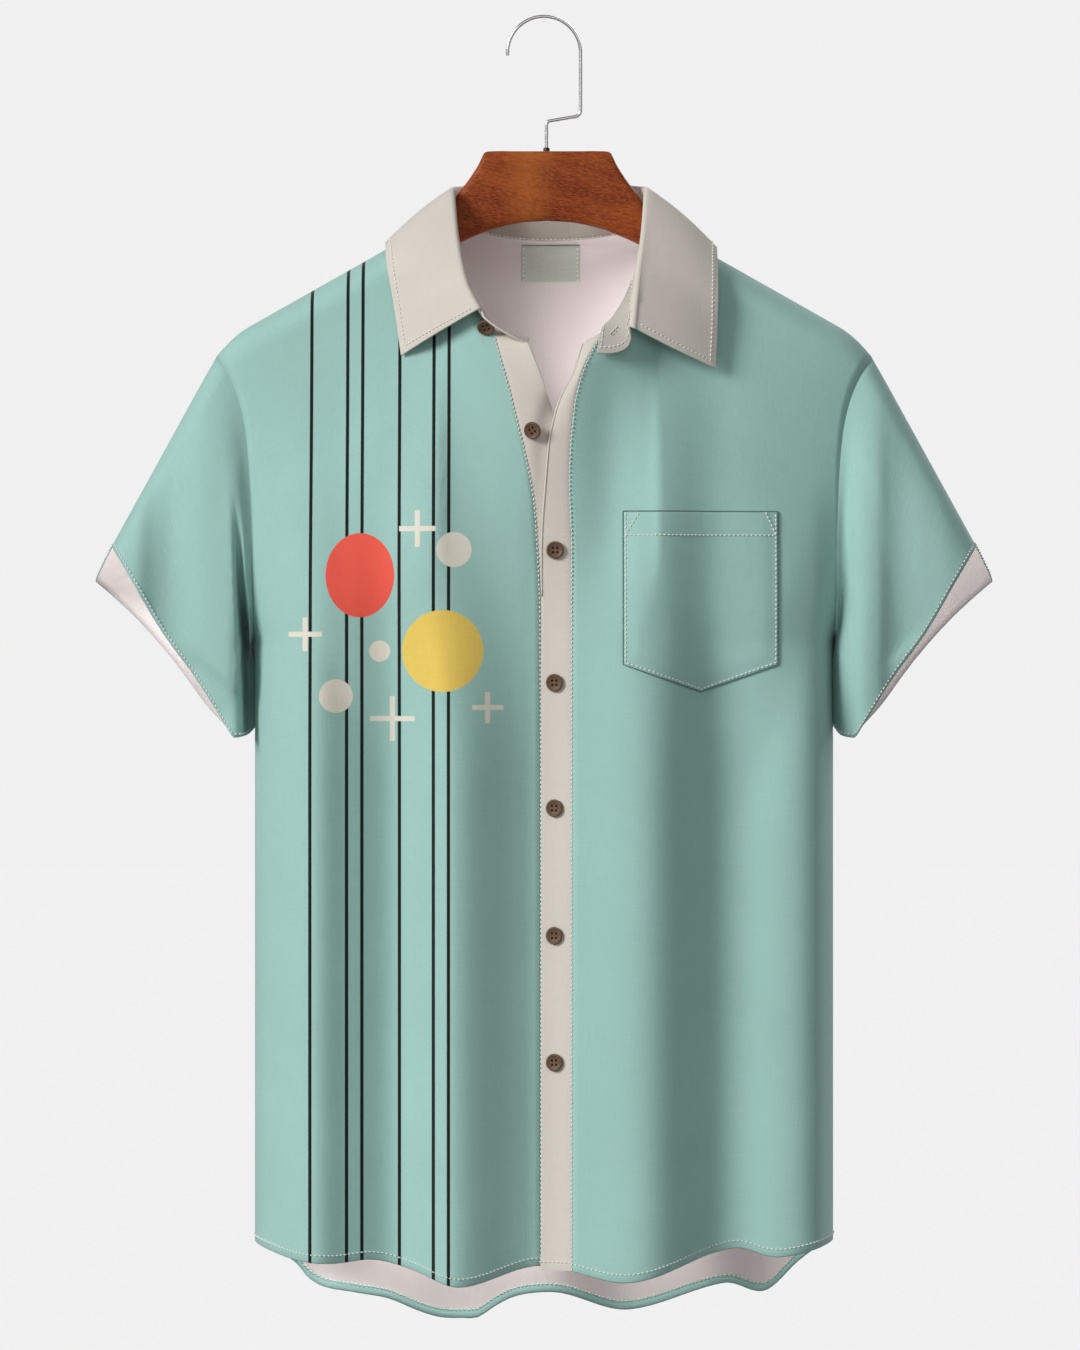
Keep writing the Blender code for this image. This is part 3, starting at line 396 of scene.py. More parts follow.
def half_panel(inner_edge, top_inner_z, face, side, surface):
    """Grid of a half body panel, rows from hem to shoulder."""
    top_inner_x = inner_edge(top_inner_z)

    def bottom(column, z):
        return lerp(inner_edge(z), side * HALF_WIDTH, column_share(column))

    grid = []
    for row in range(ROWS_BELOW):
        share = row / ROWS_BELOW
        line = []
        for column in range(COLUMNS + 1):
            x = bottom(column, lerp(BELOW_ALL_Z, ARMPIT_Z, share))
            line.append((x, lerp(hem_z(x, face), ARMPIT_Z, share)))
        grid.append(line)
    corners = ((inner_edge(ARMPIT_Z), ARMPIT_Z), (side * armhole_x(ARMPIT_Z), ARMPIT_Z),
               (top_inner_x, top_inner_z), (side * TIP_X, TIP_Z))
    for row in range(ROWS_ABOVE + 1):
        share = row_share(row)
        inner_z, outer_z = (lerp(ARMPIT_Z, z, share) for z in (top_inner_z, TIP_Z))
        inner = (inner_edge(inner_z), inner_z)
        outer = (side * armhole_x(outer_z), outer_z)
        line = []
        for column in range(COLUMNS + 1):
            across = column_share(column)
            low = (bottom(column, ARMPIT_Z), ARMPIT_Z)
            high_x = top_outline(column, top_inner_x, side)
            high = (high_x, top_z(high_x, face))
            point = []
            for axis in range(2):
                ruled = lerp(low[axis], high[axis], share)
                edges = lerp(inner[axis], outer[axis], across)
                flat = lerp(lerp(corners[0][axis], corners[1][axis], across),
                            lerp(corners[2][axis], corners[3][axis], across), share)
                point.append(ruled + edges - flat)
            line.append(tuple(point))
        grid.append(line)
    return [[Vector((x, surface(x, z), z)) for x, z in line] for line in grid]


right_grid = half_panel(lambda z: read_table(BUTTON_BAND, min(z, BUTTON_BAND[0][0]), 1),
                        BUTTON_BAND[0][0], -1, -1, right_front_y)
left_grid = half_panel(lambda z: read_table(BUTTONHOLE_BAND, min(z, BUTTONHOLE_BAND[0][0]), 1),
                       BUTTONHOLE_BAND[0][0], -1, 1, front_y)
back_halves = [half_panel(lambda z: 0.0, top_z(0.0, 1), 1, side, back_y) for side in (-1, 1)]
back_grid = [right[:0:-1] + left for right, left in zip(*back_halves)]
print("rows and columns:", [(len(grid), len(grid[0])) for grid in (right_grid, back_grid)])

# %% [markdown]
# ## Materials: the helpers
# Every finish here is worked out from positions on the cloth, with no image. Node trees
# are long to write by hand, so a few small helpers place a node, feed its sockets with a
# number or a link, and hand back its output.

# %% Node helpers
UV_MAP, OBJECT_PLACE = 2, 3           # outputs of the Texture Coordinate node


def srgb(red, green, blue):
    """Linear colour from the 0 to 255 numbers of a colour chart."""
    parts = [part / 255.0 for part in (red, green, blue)]
    return tuple(part / 12.92 if part <= 0.04045 else ((part + 0.055) / 1.055) ** 2.4
                 for part in parts) + (1.0,)


def feed(tree, socket, value):
    """Give a socket a number, a colour or a link."""
    if isinstance(value, bpy.types.NodeSocket):
        tree.links.new(value, socket)
    elif value is not None:
        socket.default_value = value


def put(tree, kind, *values, out=0, **settings):
    """Place a node, set its options, feed its sockets and return one of its outputs."""
    item = tree.nodes.new("ShaderNode" + kind)
    for key, value in settings.items():
        setattr(item, key, value)
    for socket, value in zip(item.inputs, values):
        feed(tree, socket, value)
    return item.outputs[out]


def sum_of(tree, operation, first, second=None):
    """One sum on numbers, such as ADD or ABSOLUTE."""
    return put(tree, "Math", first, second, operation=operation)


def scaled(tree, value, factor, offset):
    """value * factor + offset"""
    return sum_of(tree, "ADD", sum_of(tree, "MULTIPLY", value, factor), offset)


def mix_colour(tree, factor, first, second, blend="MIX"):
    """Colour between two others, or one tinted by the other."""
    item = tree.nodes.new("ShaderNodeMix")
    item.data_type, item.blend_type = "RGBA", blend
    for index, value in ((0, factor), (6, first), (7, second)):
        feed(tree, item.inputs[index], value)
    return item.outputs[2]


def raised(tree, strength, distance, height):
    """Normal of a surface with a height map laid on it."""
    item = tree.nodes.new("ShaderNodeBump")
    for label, value in (("Strength", strength), ("Distance", distance), ("Height", height)):
        feed(tree, item.inputs[label], value)
    return item.outputs[0]


def new_group(name, inputs, outputs):
    """Empty node group, with its input and output nodes ready."""
    group = bpy.data.node_groups.new(name, "ShaderNodeTree")
    for label, kind in inputs:
        group.interface.new_socket(label, in_out="INPUT", socket_type="NodeSocket" + kind)
    for label, kind in outputs:
        group.interface.new_socket(label, in_out="OUTPUT", socket_type="NodeSocket" + kind)
    come, give = (group.nodes.new("NodeGroup" + end) for end in ("Input", "Output"))
    return group, come.outputs, give.inputs


def use_group(tree, group, **values):
    """Place a group; spaces in its socket names are written as underscores."""
    item = tree.nodes.new("ShaderNodeGroup")
    item.node_tree = group
    for label, value in values.items():
        feed(tree, item.inputs[label.replace("_", " ")], value)
    return item.outputs


def new_material(name, slot_colour, roughness, **sockets):
    """Material with a Principled shader whose even values sit on its own sockets."""
    finish = bpy.data.materials.new(name)
    finish.use_nodes = True
    finish.diffuse_color = slot_colour
    shader = finish.node_tree.nodes["Principled BSDF"]
    shader.inputs["Base Color"].default_value = slot_colour
    shader.inputs["Roughness"].default_value = roughness
    for label, value in sockets.items():
        shader.inputs[label.replace("_", " ")].default_value = value
    return finish, finish.node_tree, shader.inputs


print("node helpers ready")

# %% [markdown]
# ## The weave
# Shirting is a plain weave: each thread passes over one and under the next. Two sine waves
# multiplied make that chequer of small bumps. Real yarn is also thick and thin, so long
# stretched noises add slubs along and across. The group reads lengths of cloth from the
# UV map, and every cloth finish uses it with its own thread count.

# %% Plain weave group
weave, come, give = new_group(
    "plain weave", [("Lengths", "Vector"), ("Thread", "Float"), ("Slub", "Float")],
    [("Height", "Float"), ("Tint", "Float")])
place = put(weave, "SeparateXYZ", come["Lengths"]).node.outputs
turns = sum_of(weave, "DIVIDE", math.pi, come["Thread"])
waves = [sum_of(weave, "SINE", sum_of(weave, "MULTIPLY", place[axis], turns)) for axis in (0, 1)]
chequer = sum_of(weave, "MULTIPLY", waves[0], waves[1])
slubs = []
for stretch in ((55.0, 1500.0, 1.0), (1500.0, 55.0, 1.0)):
    spread = put(weave, "VectorMath", come["Lengths"], stretch, operation="MULTIPLY")
    slubs.append(put(weave, "TexNoise", spread, None, 1.0, 3.0, noise_dimensions="2D"))
slub = sum_of(weave, "ADD", slubs[0], slubs[1])
patches = put(weave, "TexNoise", come["Lengths"], None, 14.0, 3.0, noise_dimensions="2D")
uneven = sum_of(weave, "MULTIPLY", sum_of(weave, "SUBTRACT", slub, 1.0), come["Slub"])
broad = sum_of(weave, "MULTIPLY", sum_of(weave, "SUBTRACT", patches, 0.5), 0.10)
feed(weave, give["Height"], scaled(weave, chequer, 0.25, slub))
feed(weave, give["Tint"], sum_of(weave, "ADD", sum_of(weave, "ADD", uneven, broad), 1.0))
print("weave group:", len(weave.nodes), "nodes")

# %% [markdown]
# ## The print
# Stripes and shapes are printed on the flat cloth, so they follow it down every fold. A
# printed shape has a hard edge, and only its mask is needed: 1 inside, 0 outside. One
# group draws a line, one an oval and one a plain cross. The shapes are the makers' own
# choice, simple discs and crosses, and stand on six thin black stripes.

# %% Print groups
SOFT_EDGE = 0.00025


def inside(tree, value, limit):
    """1 where a value is under a limit, with a thin soft edge."""
    low, high = (sum_of(tree, "ADD", limit, edge) for edge in (-SOFT_EDGE, SOFT_EDGE))
    return put(tree, "MapRange", value, low, high, 1.0, 0.0)


line_group, come, give = new_group(
    "printed line", [("Across", "Float"), ("Centre", "Float"), ("Half width", "Float")],
    [("Mask", "Float")])
away = sum_of(line_group, "ABSOLUTE", sum_of(line_group, "SUBTRACT", come[0], come[1]))
feed(line_group, give[0], inside(line_group, away, come[2]))

oval_group, come, give = new_group(
    "printed oval", [("Place", "Vector"), ("Centre", "Vector"), ("Half size", "Vector")],
    [("Mask", "Float")])
moved = put(oval_group, "VectorMath", come[0], come[1], operation="SUBTRACT")
shared = put(oval_group, "VectorMath", moved, come[2], operation="DIVIDE")
reach = put(oval_group, "VectorMath", shared, operation="LENGTH", out=1)
feed(oval_group, give[0], put(oval_group, "MapRange", reach, 0.99, 1.01, 1.0, 0.0))

cross_group, come, give = new_group(
    "printed cross", [("Place", "Vector"), ("Centre", "Vector"), ("Arm", "Float"),
                      ("Half width", "Float")], [("Mask", "Float")])
moved = put(cross_group, "VectorMath", come[0], come[1], operation="SUBTRACT")
moved = put(cross_group, "VectorMath", moved, operation="ABSOLUTE")
parts = put(cross_group, "SeparateXYZ", moved).node.outputs
long_way = inside(cross_group, sum_of(cross_group, "MAXIMUM", parts[0], parts[1]), come[2])
short_way = inside(cross_group, sum_of(cross_group, "MINIMUM", parts[0], parts[1]), come[3])
feed(cross_group, give[0], sum_of(cross_group, "MULTIPLY", long_way, short_way))
print("three print groups")

# %% Print layout
STRIPES = (-0.1663, -0.1404, -0.1296, -0.1030, -0.0785, -0.0677)
STRIPE_HALF = 0.0012
YELLOW, RED, CREAM_INK = srgb(232, 200, 96), srgb(236, 92, 76), srgb(226, 220, 206)
#        colour, x, z, half width, half height
OVALS = [
    (RED, -0.1310, -0.4020, 0.0245, 0.0300),
    (YELLOW, -0.0720, -0.4560, 0.0290, 0.0290),
    (CREAM_INK, -0.0640, -0.3840, 0.0125, 0.0125),
    (CREAM_INK, -0.1480, -0.4880, 0.0120, 0.0120),
    (CREAM_INK, -0.1170, -0.4560, 0.0075, 0.0075),
]
#          x, z, arm, half width
CROSSES = [
    (-0.0900, -0.3690, 0.0130, 0.0018), (-0.1080, -0.5040, 0.0160, 0.0018),
    (-0.1700, -0.4440, 0.0120, 0.0018), (-0.0400, -0.4960, 0.0110, 0.0018),
]
print(len(STRIPES), "stripes,", len(OVALS), "ovals and", len(CROSSES), "crosses")

# %% [markdown]
# ## Cloth finishes
# Shirting is matt, with a faint sheen at grazing angles from its loose fibres. The mint
# cloth is printed on one side only, so its reverse is nearly white. The cream of the
# collar and bands is the same weight of cloth, plain. All share the weave group.

# %% Mint, cream and reverse cloth
def cloth_material(name, colour, thread, slub, bump, colour_of=None):
    """Matt woven cloth; colour_of may paint a print over the plain colour."""
    finish, tree, shader = new_material(name, colour, 0.88, Sheen_Weight=0.18,
                                        Sheen_Roughness=0.45, Specular_IOR_Level=0.25)
    lengths = put(tree, "TexCoord", out=UV_MAP)
    woven = use_group(tree, weave, Lengths=lengths, Thread=thread, Slub=slub)
    base = colour_of(tree, colour) if colour_of else colour
    tint = put(tree, "CombineXYZ", woven["Tint"], woven["Tint"], woven["Tint"])
    feed(tree, shader["Base Color"], mix_colour(tree, 1.0, base, tint, "MULTIPLY"))
    feed(tree, shader["Roughness"], scaled(tree, woven["Height"], 0.06, 0.80))
    feed(tree, shader["Normal"], raised(tree, bump, 0.0004, woven["Height"]))
    return finish


def print_over(tree, colour):
    """The stripes, then the shapes, over the plain mint."""
    parts = put(tree, "SeparateXYZ", put(tree, "TexCoord", out=OBJECT_PLACE)).node.outputs
    flat = put(tree, "CombineXYZ", parts[0], parts[2], 0.0)
    painted, stripes = colour, None
    for centre in STRIPES:
        mask = use_group(tree, line_group, Across=parts[0], Centre=centre,
                         Half_width=STRIPE_HALF)[0]
        stripes = mask if stripes is None else sum_of(tree, "MAXIMUM", stripes, mask)
    painted = mix_colour(tree, stripes, painted, srgb(16, 17, 18))
    for ink, x, z, half_x, half_z in OVALS:
        mask = use_group(tree, oval_group, Place=flat, Centre=(x, z, 0.0),
                         Half_size=(half_x, half_z, 1.0))[0]
        painted = mix_colour(tree, mask, painted, ink)
    for x, z, arm, half in CROSSES:
        mask = use_group(tree, cross_group, Place=flat, Centre=(x, z, 0.0), Arm=arm,
                         Half_width=half)[0]
        painted = mix_colour(tree, mask, painted, CREAM_INK)
    return painted


MINT = srgb(157, 197, 189)
MINT_YARN, CREAM_YARN = (0.00055, 0.10, 0.25), (0.00060, 0.07, 0.22)
mint_cloth = cloth_material("mint cloth", MINT, *MINT_YARN)
printed_cloth = cloth_material("printed mint cloth", MINT, *MINT_YARN, print_over)
cream_cloth = cloth_material("cream cloth", srgb(210, 203, 193), *CREAM_YARN)
reverse_cloth = cloth_material("reverse of the mint cloth", srgb(220, 213, 212),
                               0.00055, 0.05, 0.20)
label_cloth = cloth_material("woven label", srgb(186, 195, 184), 0.00080, 0.16, 0.45)
# The stand's inner side is the cream cloth made darker: painted shade where the collar and the
# hanger shade it.
cream_in_painted_shade = cloth_material("painted shade on the stand's inner side", srgb(186, 181, 171), *CREAM_YARN)
print("six cloth finishes")

# %% [markdown]
# ## Thread, horn, wood and steel
# Sewing thread is a twist of two plies, so a fine diagonal wave crosses it. The buttons
# are pressed in a brown resin that imitates horn, with long soft streaks. The hanger is
# stained and varnished hardwood: its grain is a noise drawn out along the arms, and the
# varnish is a clear coat. The hook is drawn steel wire, bright and lightly scratched.

# %% Thread and buttons
def grain_noise(tree, stretch, detail=4.0, distortion=0.0, source=None):
    """Noise stretched along the axes of the object, or of another source."""
    if source is None:
        source = put(tree, "TexCoord", out=OBJECT_PLACE)
    spread = put(tree, "VectorMath", source, stretch, operation="MULTIPLY")
    return put(tree, "TexNoise", spread, None, 1.0, detail, 0.55, 2.0, 0.0, distortion)


thread, tree, shader = new_material("cream thread", srgb(240, 238, 232), 0.7, Sheen_Weight=0.1)
twist = put(tree, "TexWave", put(tree, "TexCoord", out=OBJECT_PLACE), 900.0,
            bands_direction="DIAGONAL").node.outputs[1]
feed(tree, shader["Base Color"], mix_colour(tree, twist, srgb(222, 219, 212),
                                            srgb(250, 249, 244)))


def thread_and_shade_finish(name, dark, light):
    """Dull finish whose colour varies from fibre to fibre, for thread and for lines of painted
    shade.
    """
    finish, tree, shader = new_material(name, dark, 0.85)
    fibres = grain_noise(tree, (3000.0, 3000.0, 3000.0))
    feed(tree, shader["Base Color"], mix_colour(tree, fibres, dark, light))
    return finish


# Near-black button thread: its colour is also painted shade inside the button's holes.
thread_with_hole_shade = thread_and_shade_finish("button thread, painted hole shade", srgb(26, 20, 17), srgb(44, 34, 29))
# A dark mint for the cord round the pocket: painted shade along its edges.
shade_line_finish = thread_and_shade_finish("painted shade round the pocket", srgb(88, 118, 112), srgb(108, 138, 132))
# Near-black finish for the buttonhole's slit: painted shade in the cut.
shaded_slit = thread_and_shade_finish("painted shade in the tab's slit", srgb(60, 54, 49), srgb(92, 86, 79))

horn, tree, shader = new_material("brown button resin", srgb(90, 68, 54), 0.55,
                                  Specular_IOR_Level=0.18)
streak = grain_noise(tree, (260.0, 900.0, 260.0), 5.0, 0.6)
feed(tree, shader["Base Color"], mix_colour(tree, streak, srgb(78, 57, 44), srgb(122, 96, 76)))
feed(tree, shader["Roughness"], scaled(tree, streak, 0.2, 0.34))
print("finishes so far:", len(bpy.data.materials))

# %% Wood
wood, tree, shader = new_material("stained hanger wood", srgb(134, 62, 34), 0.5,
                                  Specular_IOR_Level=0.12)
source = put(tree, "TexCoord", out=OBJECT_PLACE)
across = put(tree, "SeparateXYZ", source)
tilted = put(tree, "VectorRotate", source, (0.0, 0.0, 0.0), (0.0, 1.0, 0.0),
             math.radians(-12.0))
broad = grain_noise(tree, (14.0, 60.0, 70.0), 4.0, 0.9, tilted)
fine = grain_noise(tree, (60.0, 560.0, 560.0), 3.0, 0.1, tilted)
pores = grain_noise(tree, (260.0, 1300.0, 1300.0), 2.0, source=tilted)


def near_line(centre, inner, outer, strength):
    """Mask of a straight line up the board, at a distance from its middle."""
    aside = sum_of(tree, "ABSOLUTE", sum_of(tree, "SUBTRACT", across, centre))
    return put(tree, "MapRange", aside, inner, outer, strength, 0.0)


stain = srgb(118, 47, 24)
for mask, colour in (
        (put(tree, "MapRange", broad, 0.34, 0.66, 0.0, 1.0), srgb(158, 78, 34)),
        (put(tree, "MapRange", fine, 0.36, 0.72, 0.0, 0.62), srgb(84, 28, 16)),
        (put(tree, "MapRange", pores, 0.46, 0.62, 0.0, 0.6), srgb(176, 92, 46)),
        (near_line(-0.012, 0.002, 0.020, 0.36), srgb(192, 112, 50)),
        (near_line(0.0025, 0.0002, 0.0006, 0.55), srgb(150, 84, 44))):
    stain = mix_colour(tree, mask, stain, colour)
feed(tree, shader["Base Color"], stain)
feed(tree, shader["Roughness"], scaled(tree, fine, 0.2, 0.36))
feed(tree, shader["Normal"], raised(tree, 0.12, 0.0003, fine))
print("wood:", len(tree.nodes), "nodes")

# %% Steel
steel, tree, shader = new_material("bright steel wire", (0.72, 0.72, 0.73, 1.0), 0.22,
                                   Metallic=1.0)
scratch = grain_noise(tree, (700.0, 3000.0, 700.0), 3.0)
feed(tree, shader["Roughness"], scaled(tree, scratch, 0.22, 0.12))
feed(tree, shader["Base Color"], mix_colour(tree, scratch, (0.60, 0.60, 0.61, 1.0),
                                            (0.82, 0.82, 0.83, 1.0)))
dark_steel, tree, shader = new_material("blackened steel", (0.05, 0.05, 0.05, 1.0), 0.4,
                                        Metallic=1.0)
scratch = grain_noise(tree, (900.0, 900.0, 900.0), 3.0)
feed(tree, shader["Base Color"], mix_colour(tree, scratch, srgb(38, 36, 34), srgb(74, 70, 66)))
print("finishes:", len(bpy.data.materials))

# %% [markdown]
# ## From a grid to a piece of cloth
# A grid of points becomes one sheet of quads. Its UV map holds the real lengths of cloth,
# so the weave keeps its size over a fold. Solidify gives the sheet its thickness inwards
# and puts the reverse on the inner face. Doubled pieces get a small bevel, because a
# turned edge is round.

# %% Mesh helpers
def link(name, data):
    """New object in the scene."""
    thing = bpy.data.objects.new(name, data)
    bpy.context.scene.collection.objects.link(thing)
    return thing


def to_mesh(builder, name, sharp=None):
    """Finished mesh, shaded smooth but for edges sharper than some degrees."""
    mesh = bpy.data.meshes.new(name)
    builder.to_mesh(mesh)
    builder.free()
    mesh.shade_smooth()
    if sharp:
        mesh.set_sharp_from_angle(angle=math.radians(sharp))
    return mesh


def skin(builder, rings, near_cap=True):
    """Quads from ring to ring, and a cap on the ends."""
    for near, far in zip(rings, rings[1:]):
        for index in range(len(near)):
            after = (index + 1) % len(near)
            builder.faces.new((near[index], near[after], far[after], far[index]))
    if near_cap:
        builder.faces.new(rings[0][::-1])
    builder.faces.new(rings[-1])


# %% Grid helpers
def grid_mesh(name, grid, flip=False, closed=False):
    """Quads over a grid of points; closed joins each line's end to its start."""
    builder = bmesh.new()
    lengths = builder.loops.layers.uv.new("cloth")
    verts = [[builder.verts.new(point) for point in line] for line in grid]
    count, middle, across, up = len(grid[0]), grid[len(grid) // 2], [0.0], [0.0]
    for index in range(count):
        across.append(across[-1] + (middle[(index + 1) % count] - middle[index]).length)
    for low, high in zip(grid, grid[1:]):
        up.append(up[-1] + (high[count // 2] - low[count // 2]).length)
    for row in range(len(grid) - 1):
        for index in range(count if closed else count - 1):
            corners = [(row, index), (row, index + 1), (row + 1, index + 1), (row + 1, index)]
            if flip:
                corners.reverse()
            face = builder.faces.new([verts[at][column % count] for at, column in corners])
            for loop, (at, column) in zip(face.loops, corners):
                loop[lengths].uv = (across[column], up[at])
    return to_mesh(builder, name)


def on_grid(grid, row, column):
    """Point and normal at a fractional row and column of a grid."""
    low = min(max(int(row), 0), len(grid) - 2)
    left = min(max(int(column), 0), len(grid[0]) - 2)
    up, right = row - low, column - left
    first, second = grid[low][left], grid[low][left + 1]
    third, fourth = grid[low + 1][left], grid[low + 1][left + 1]
    point = first.lerp(second, right).lerp(third.lerp(fourth, right), up)
    normal = (second - first + fourth - third).cross(third - first + fourth - second)
    return point, normal.normalized()


def cut_size(grid, closed=False):
    """Width and length of a grid's cloth laid flat, along its longest lines."""
    lines = [line + line[:1] if closed else line for line in grid]

    def longest(rows):
        return max(sum((b - a).length for a, b in zip(row, row[1:])) for row in rows)

    return longest(lines), longest(list(zip(*grid)))


# %% Cloth pieces
EDGE_SHARE = 0.42         # how much of a doubled piece's thickness its round edge takes


def add_piece(name, mesh, nodes, slot, *finishes):
    """Put a mesh in the scene, riding on the one body and standing for its CAD nodes."""
    thing = link(name, mesh)
    for finish in finishes:
        mesh.materials.append(finish)
    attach(thing, "root")
    if nodes:
        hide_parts(*nodes)
    return thing


def add_cloth(name, grid, nodes, slot, outside, reverse, wall=CLOTH, flip=False, closed=False):
    mesh = grid_mesh(name, grid, flip, closed)
    thing = add_piece(name, mesh, nodes, slot, outside, reverse)
    solid = thing.modifiers.new("thickness", "SOLIDIFY")
    solid.thickness, solid.offset = wall, -1.0
    solid.use_quality_normals = True
    solid.material_offset = 1
    if wall > CLOTH:
        edge = thing.modifiers.new("turned edge", "BEVEL")
        edge.width, edge.segments = EDGE_SHARE * wall, 3
        edge.limit_method, edge.angle_limit = "ANGLE", math.radians(50)
    return thing


def declare(grid, closed=False):
    """Measure the flat cut of a sheet on its own grid; the sizes are not kept."""
    width, length = cut_size(grid, closed)


# %% [markdown]
# ## Stitches
# A lockstitch shows as a row of short threads with a tiny gap between them. Each one here
# is a small spindle whose ends dip into the cloth. They follow lines of points with their
# normals, taken from the same grids, so they never float.

# %% Stitch helpers
STITCH, STITCH_GAP, THREAD_RADIUS = 0.0021, 0.0011, 0.00048
STITCH_LIFT = 0.00008
# One stitch: share of its length, share of its radius, how far up it lies
SPINDLE = ((-0.5, 0.35, -0.2), (-0.25, 1.0, 0.75), (0.25, 1.0, 0.75), (0.5, 0.35, -0.2))
STITCH_SIDES, CORD_SIDES = 5, 6


def add_ring(builder, middle, aside, normal, radius, sides):
    """Corners of a small ring, square to the way that the thread runs."""
    turns = [2.0 * math.pi * step / sides for step in range(sides)]
    return [builder.verts.new(middle + (aside * math.cos(turn) + normal * math.sin(turn)) * radius)
            for turn in turns]


def add_stitches(name, lines, slot="cream_cloth", finish=None):
    """One mesh of stitches along several lines of (point, outward normal)."""
    builder, count = bmesh.new(), 0
    for line in lines:
        gone = 0.0
        for (start, normal), (end, _) in zip(line, line[1:]):
            run = end - start
            length = run.length
            if length < 1e-9:
                continue
            ahead = run / length
            aside = normal.cross(ahead).normalized()
            while gone < length:
                centre = start + ahead * (gone + STITCH / 2) + normal * STITCH_LIFT
                skin(builder, [add_ring(
                    builder, centre + ahead * STITCH * share + normal * THREAD_RADIUS * lift,
                    aside, normal, THREAD_RADIUS * width, STITCH_SIDES)
                    for share, width, lift in SPINDLE])
                gone += STITCH + STITCH_GAP
                count += 1
            gone -= length
    bmesh.ops.recalc_face_normals(builder, faces=builder.faces)
    print(name, "has", count, "stitches")
    return add_piece(name, to_mesh(builder, name), (), slot, finish or thread)


def add_cord(name, line, radius, slot, finish):
    """A round cord through (point, outward normal) places."""
    builder, rings = bmesh.new(), []
    for index, (point, normal) in enumerate(line):
        ahead = line[min(index + 1, len(line) - 1)][0] - line[max(index - 1, 0)][0]
        rings.append(add_ring(builder, point, normal.cross(ahead).normalized(), normal, radius,
                              CORD_SIDES))
    skin(builder, rings)
    bmesh.ops.recalc_face_normals(builder, faces=builder.faces)
    return add_piece(name, to_mesh(builder, name), (), slot, finish)


def grid_line(grid, places, flip=False):
    """Points and outward normals at a list of (row, column) places."""
    line = [on_grid(grid, row, column) for row, column in places]
    return [(point, -normal if flip else normal) for point, normal in line]


def along_rows(grid, column, start=0.0, end=None):
    """Line up a grid at a fractional column."""
    last = len(grid) - 1 if end is None else end
    count = max(2, int((last - start) * 2))
    return grid_line(grid, [(lerp(start, last, step / count), column)
                            for step in range(count + 1)])


def along_columns(grid, row):
    """Line across a grid at a fractional row."""
    last = len(grid[0]) - 1
    return grid_line(grid, [(row, lerp(0.0, last, step / (2 * last)))
                            for step in range(2 * last + 1)])


def faced(line, towards):
    """The same line with every normal turned to one side."""
    return [(point, normal if normal.dot(towards) > 0 else -normal) for point, normal in line]


def lifted(line, height):
    """The same line, moved off the cloth along its normals."""
    return [(point + normal * height, normal) for point, normal in line]


FRONTWARD, BACKWARD = Vector((0.0, -1.0, 0.0)), Vector((0.0, 1.0, 0.0))


# %% [markdown]
# ## Fronts and back
# The hem is turned up inside and stitched, so each panel's grid starts with three more
# rows: up the inside, down to the fold, and round it. From below and through the open
# neck the folded hem then shows the right side of the cloth, as on a real shirt.

# %% Turned-up hems
HEM_TURN = 0.0060
FOLD_RISE, FOLD_DROP, SKIN_RISE = 0.0009, 0.0002, 0.0006
TURN_DEPTH, FOLD_DEPTH = 2.3 * CLOTH, 1.1 * CLOTH   # how far inside the hem's two layers lie


def with_hem(grid, face, rows_up):
    """Add the turned-up hem under the first row of a panel's grid."""
    inner, fold_row, lowest = [], [], []
    for column in range(len(grid[0])):
        at, normal = on_grid(grid, rows_up, column)
        outward = normal if normal.y * face > 0 else -normal
        foot = grid[0][column]
        inner.append(at - outward * TURN_DEPTH)
        fold_row.append(foot - outward * TURN_DEPTH + Vector((0.0, 0.0, FOLD_RISE)))
        lowest.append(foot - outward * FOLD_DEPTH - Vector((0.0, 0.0, FOLD_DROP)))
    raised_row = [point + Vector((0.0, 0.0, SKIN_RISE)) for point in grid[0]]
    return [inner, fold_row, lowest, raised_row] + grid[1:]


HEM_ROWS = HEM_TURN / (0.44 / ROWS_BELOW)
front_right = add_cloth("front_panel_right", with_hem(right_grid, -1, HEM_ROWS), ["front_right"],
                        "mint_cloth", printed_cloth, reverse_cloth, flip=True)
front_left = add_cloth("front_panel_left", with_hem(left_grid, -1, HEM_ROWS), ["front_left"],
                       "mint_cloth", mint_cloth, reverse_cloth)
back = add_cloth("back_panel", with_hem(back_grid, 1, HEM_ROWS), ["back"],
                 "mint_cloth", mint_cloth, reverse_cloth, flip=True)

# %% [markdown]
# ## Front bands
# A band is a folded strip with a stiff layer inside, stitched along its outer edge. The
# buttonhole band lies over the button band. Above the last button both open, and the free
# edge of the upper one rolls back into the neck.

# %% Bands
BAND_COLUMNS, SEAM_OVERLAP = 8, 0.0006
BAND_FLARE, FLARE_FROM, FLARE_GROWTH = 0.0035, -0.287, 0.030
BAND_STEP, STEP_X, STEP_BLEND = 0.0004, -0.006, 0.004
BAND_RISE = 6.0           # a band reaches its full height within a sixth of its width


def make_strip(panel, rows, surface, seam_side):
    """Strip along a panel's middle edge, row by row with it."""
    grid = []
    for line in panel:
        outer_z = line[0].z
        outer_x = line[0].x - seam_side * SEAM_OVERLAP
        inner_x = read_table(rows, outer_z, 2)
        inner_z = outer_z - read_table(rows, outer_z, 3)
        points = []
        for column in range(BAND_COLUMNS + 1):
            share = column / BAND_COLUMNS
            x, z = lerp(outer_x, inner_x, share), lerp(outer_z, inner_z, share)
            points.append(Vector((x, surface(x, z, share), z)))
        grid.append(points)
    return grid


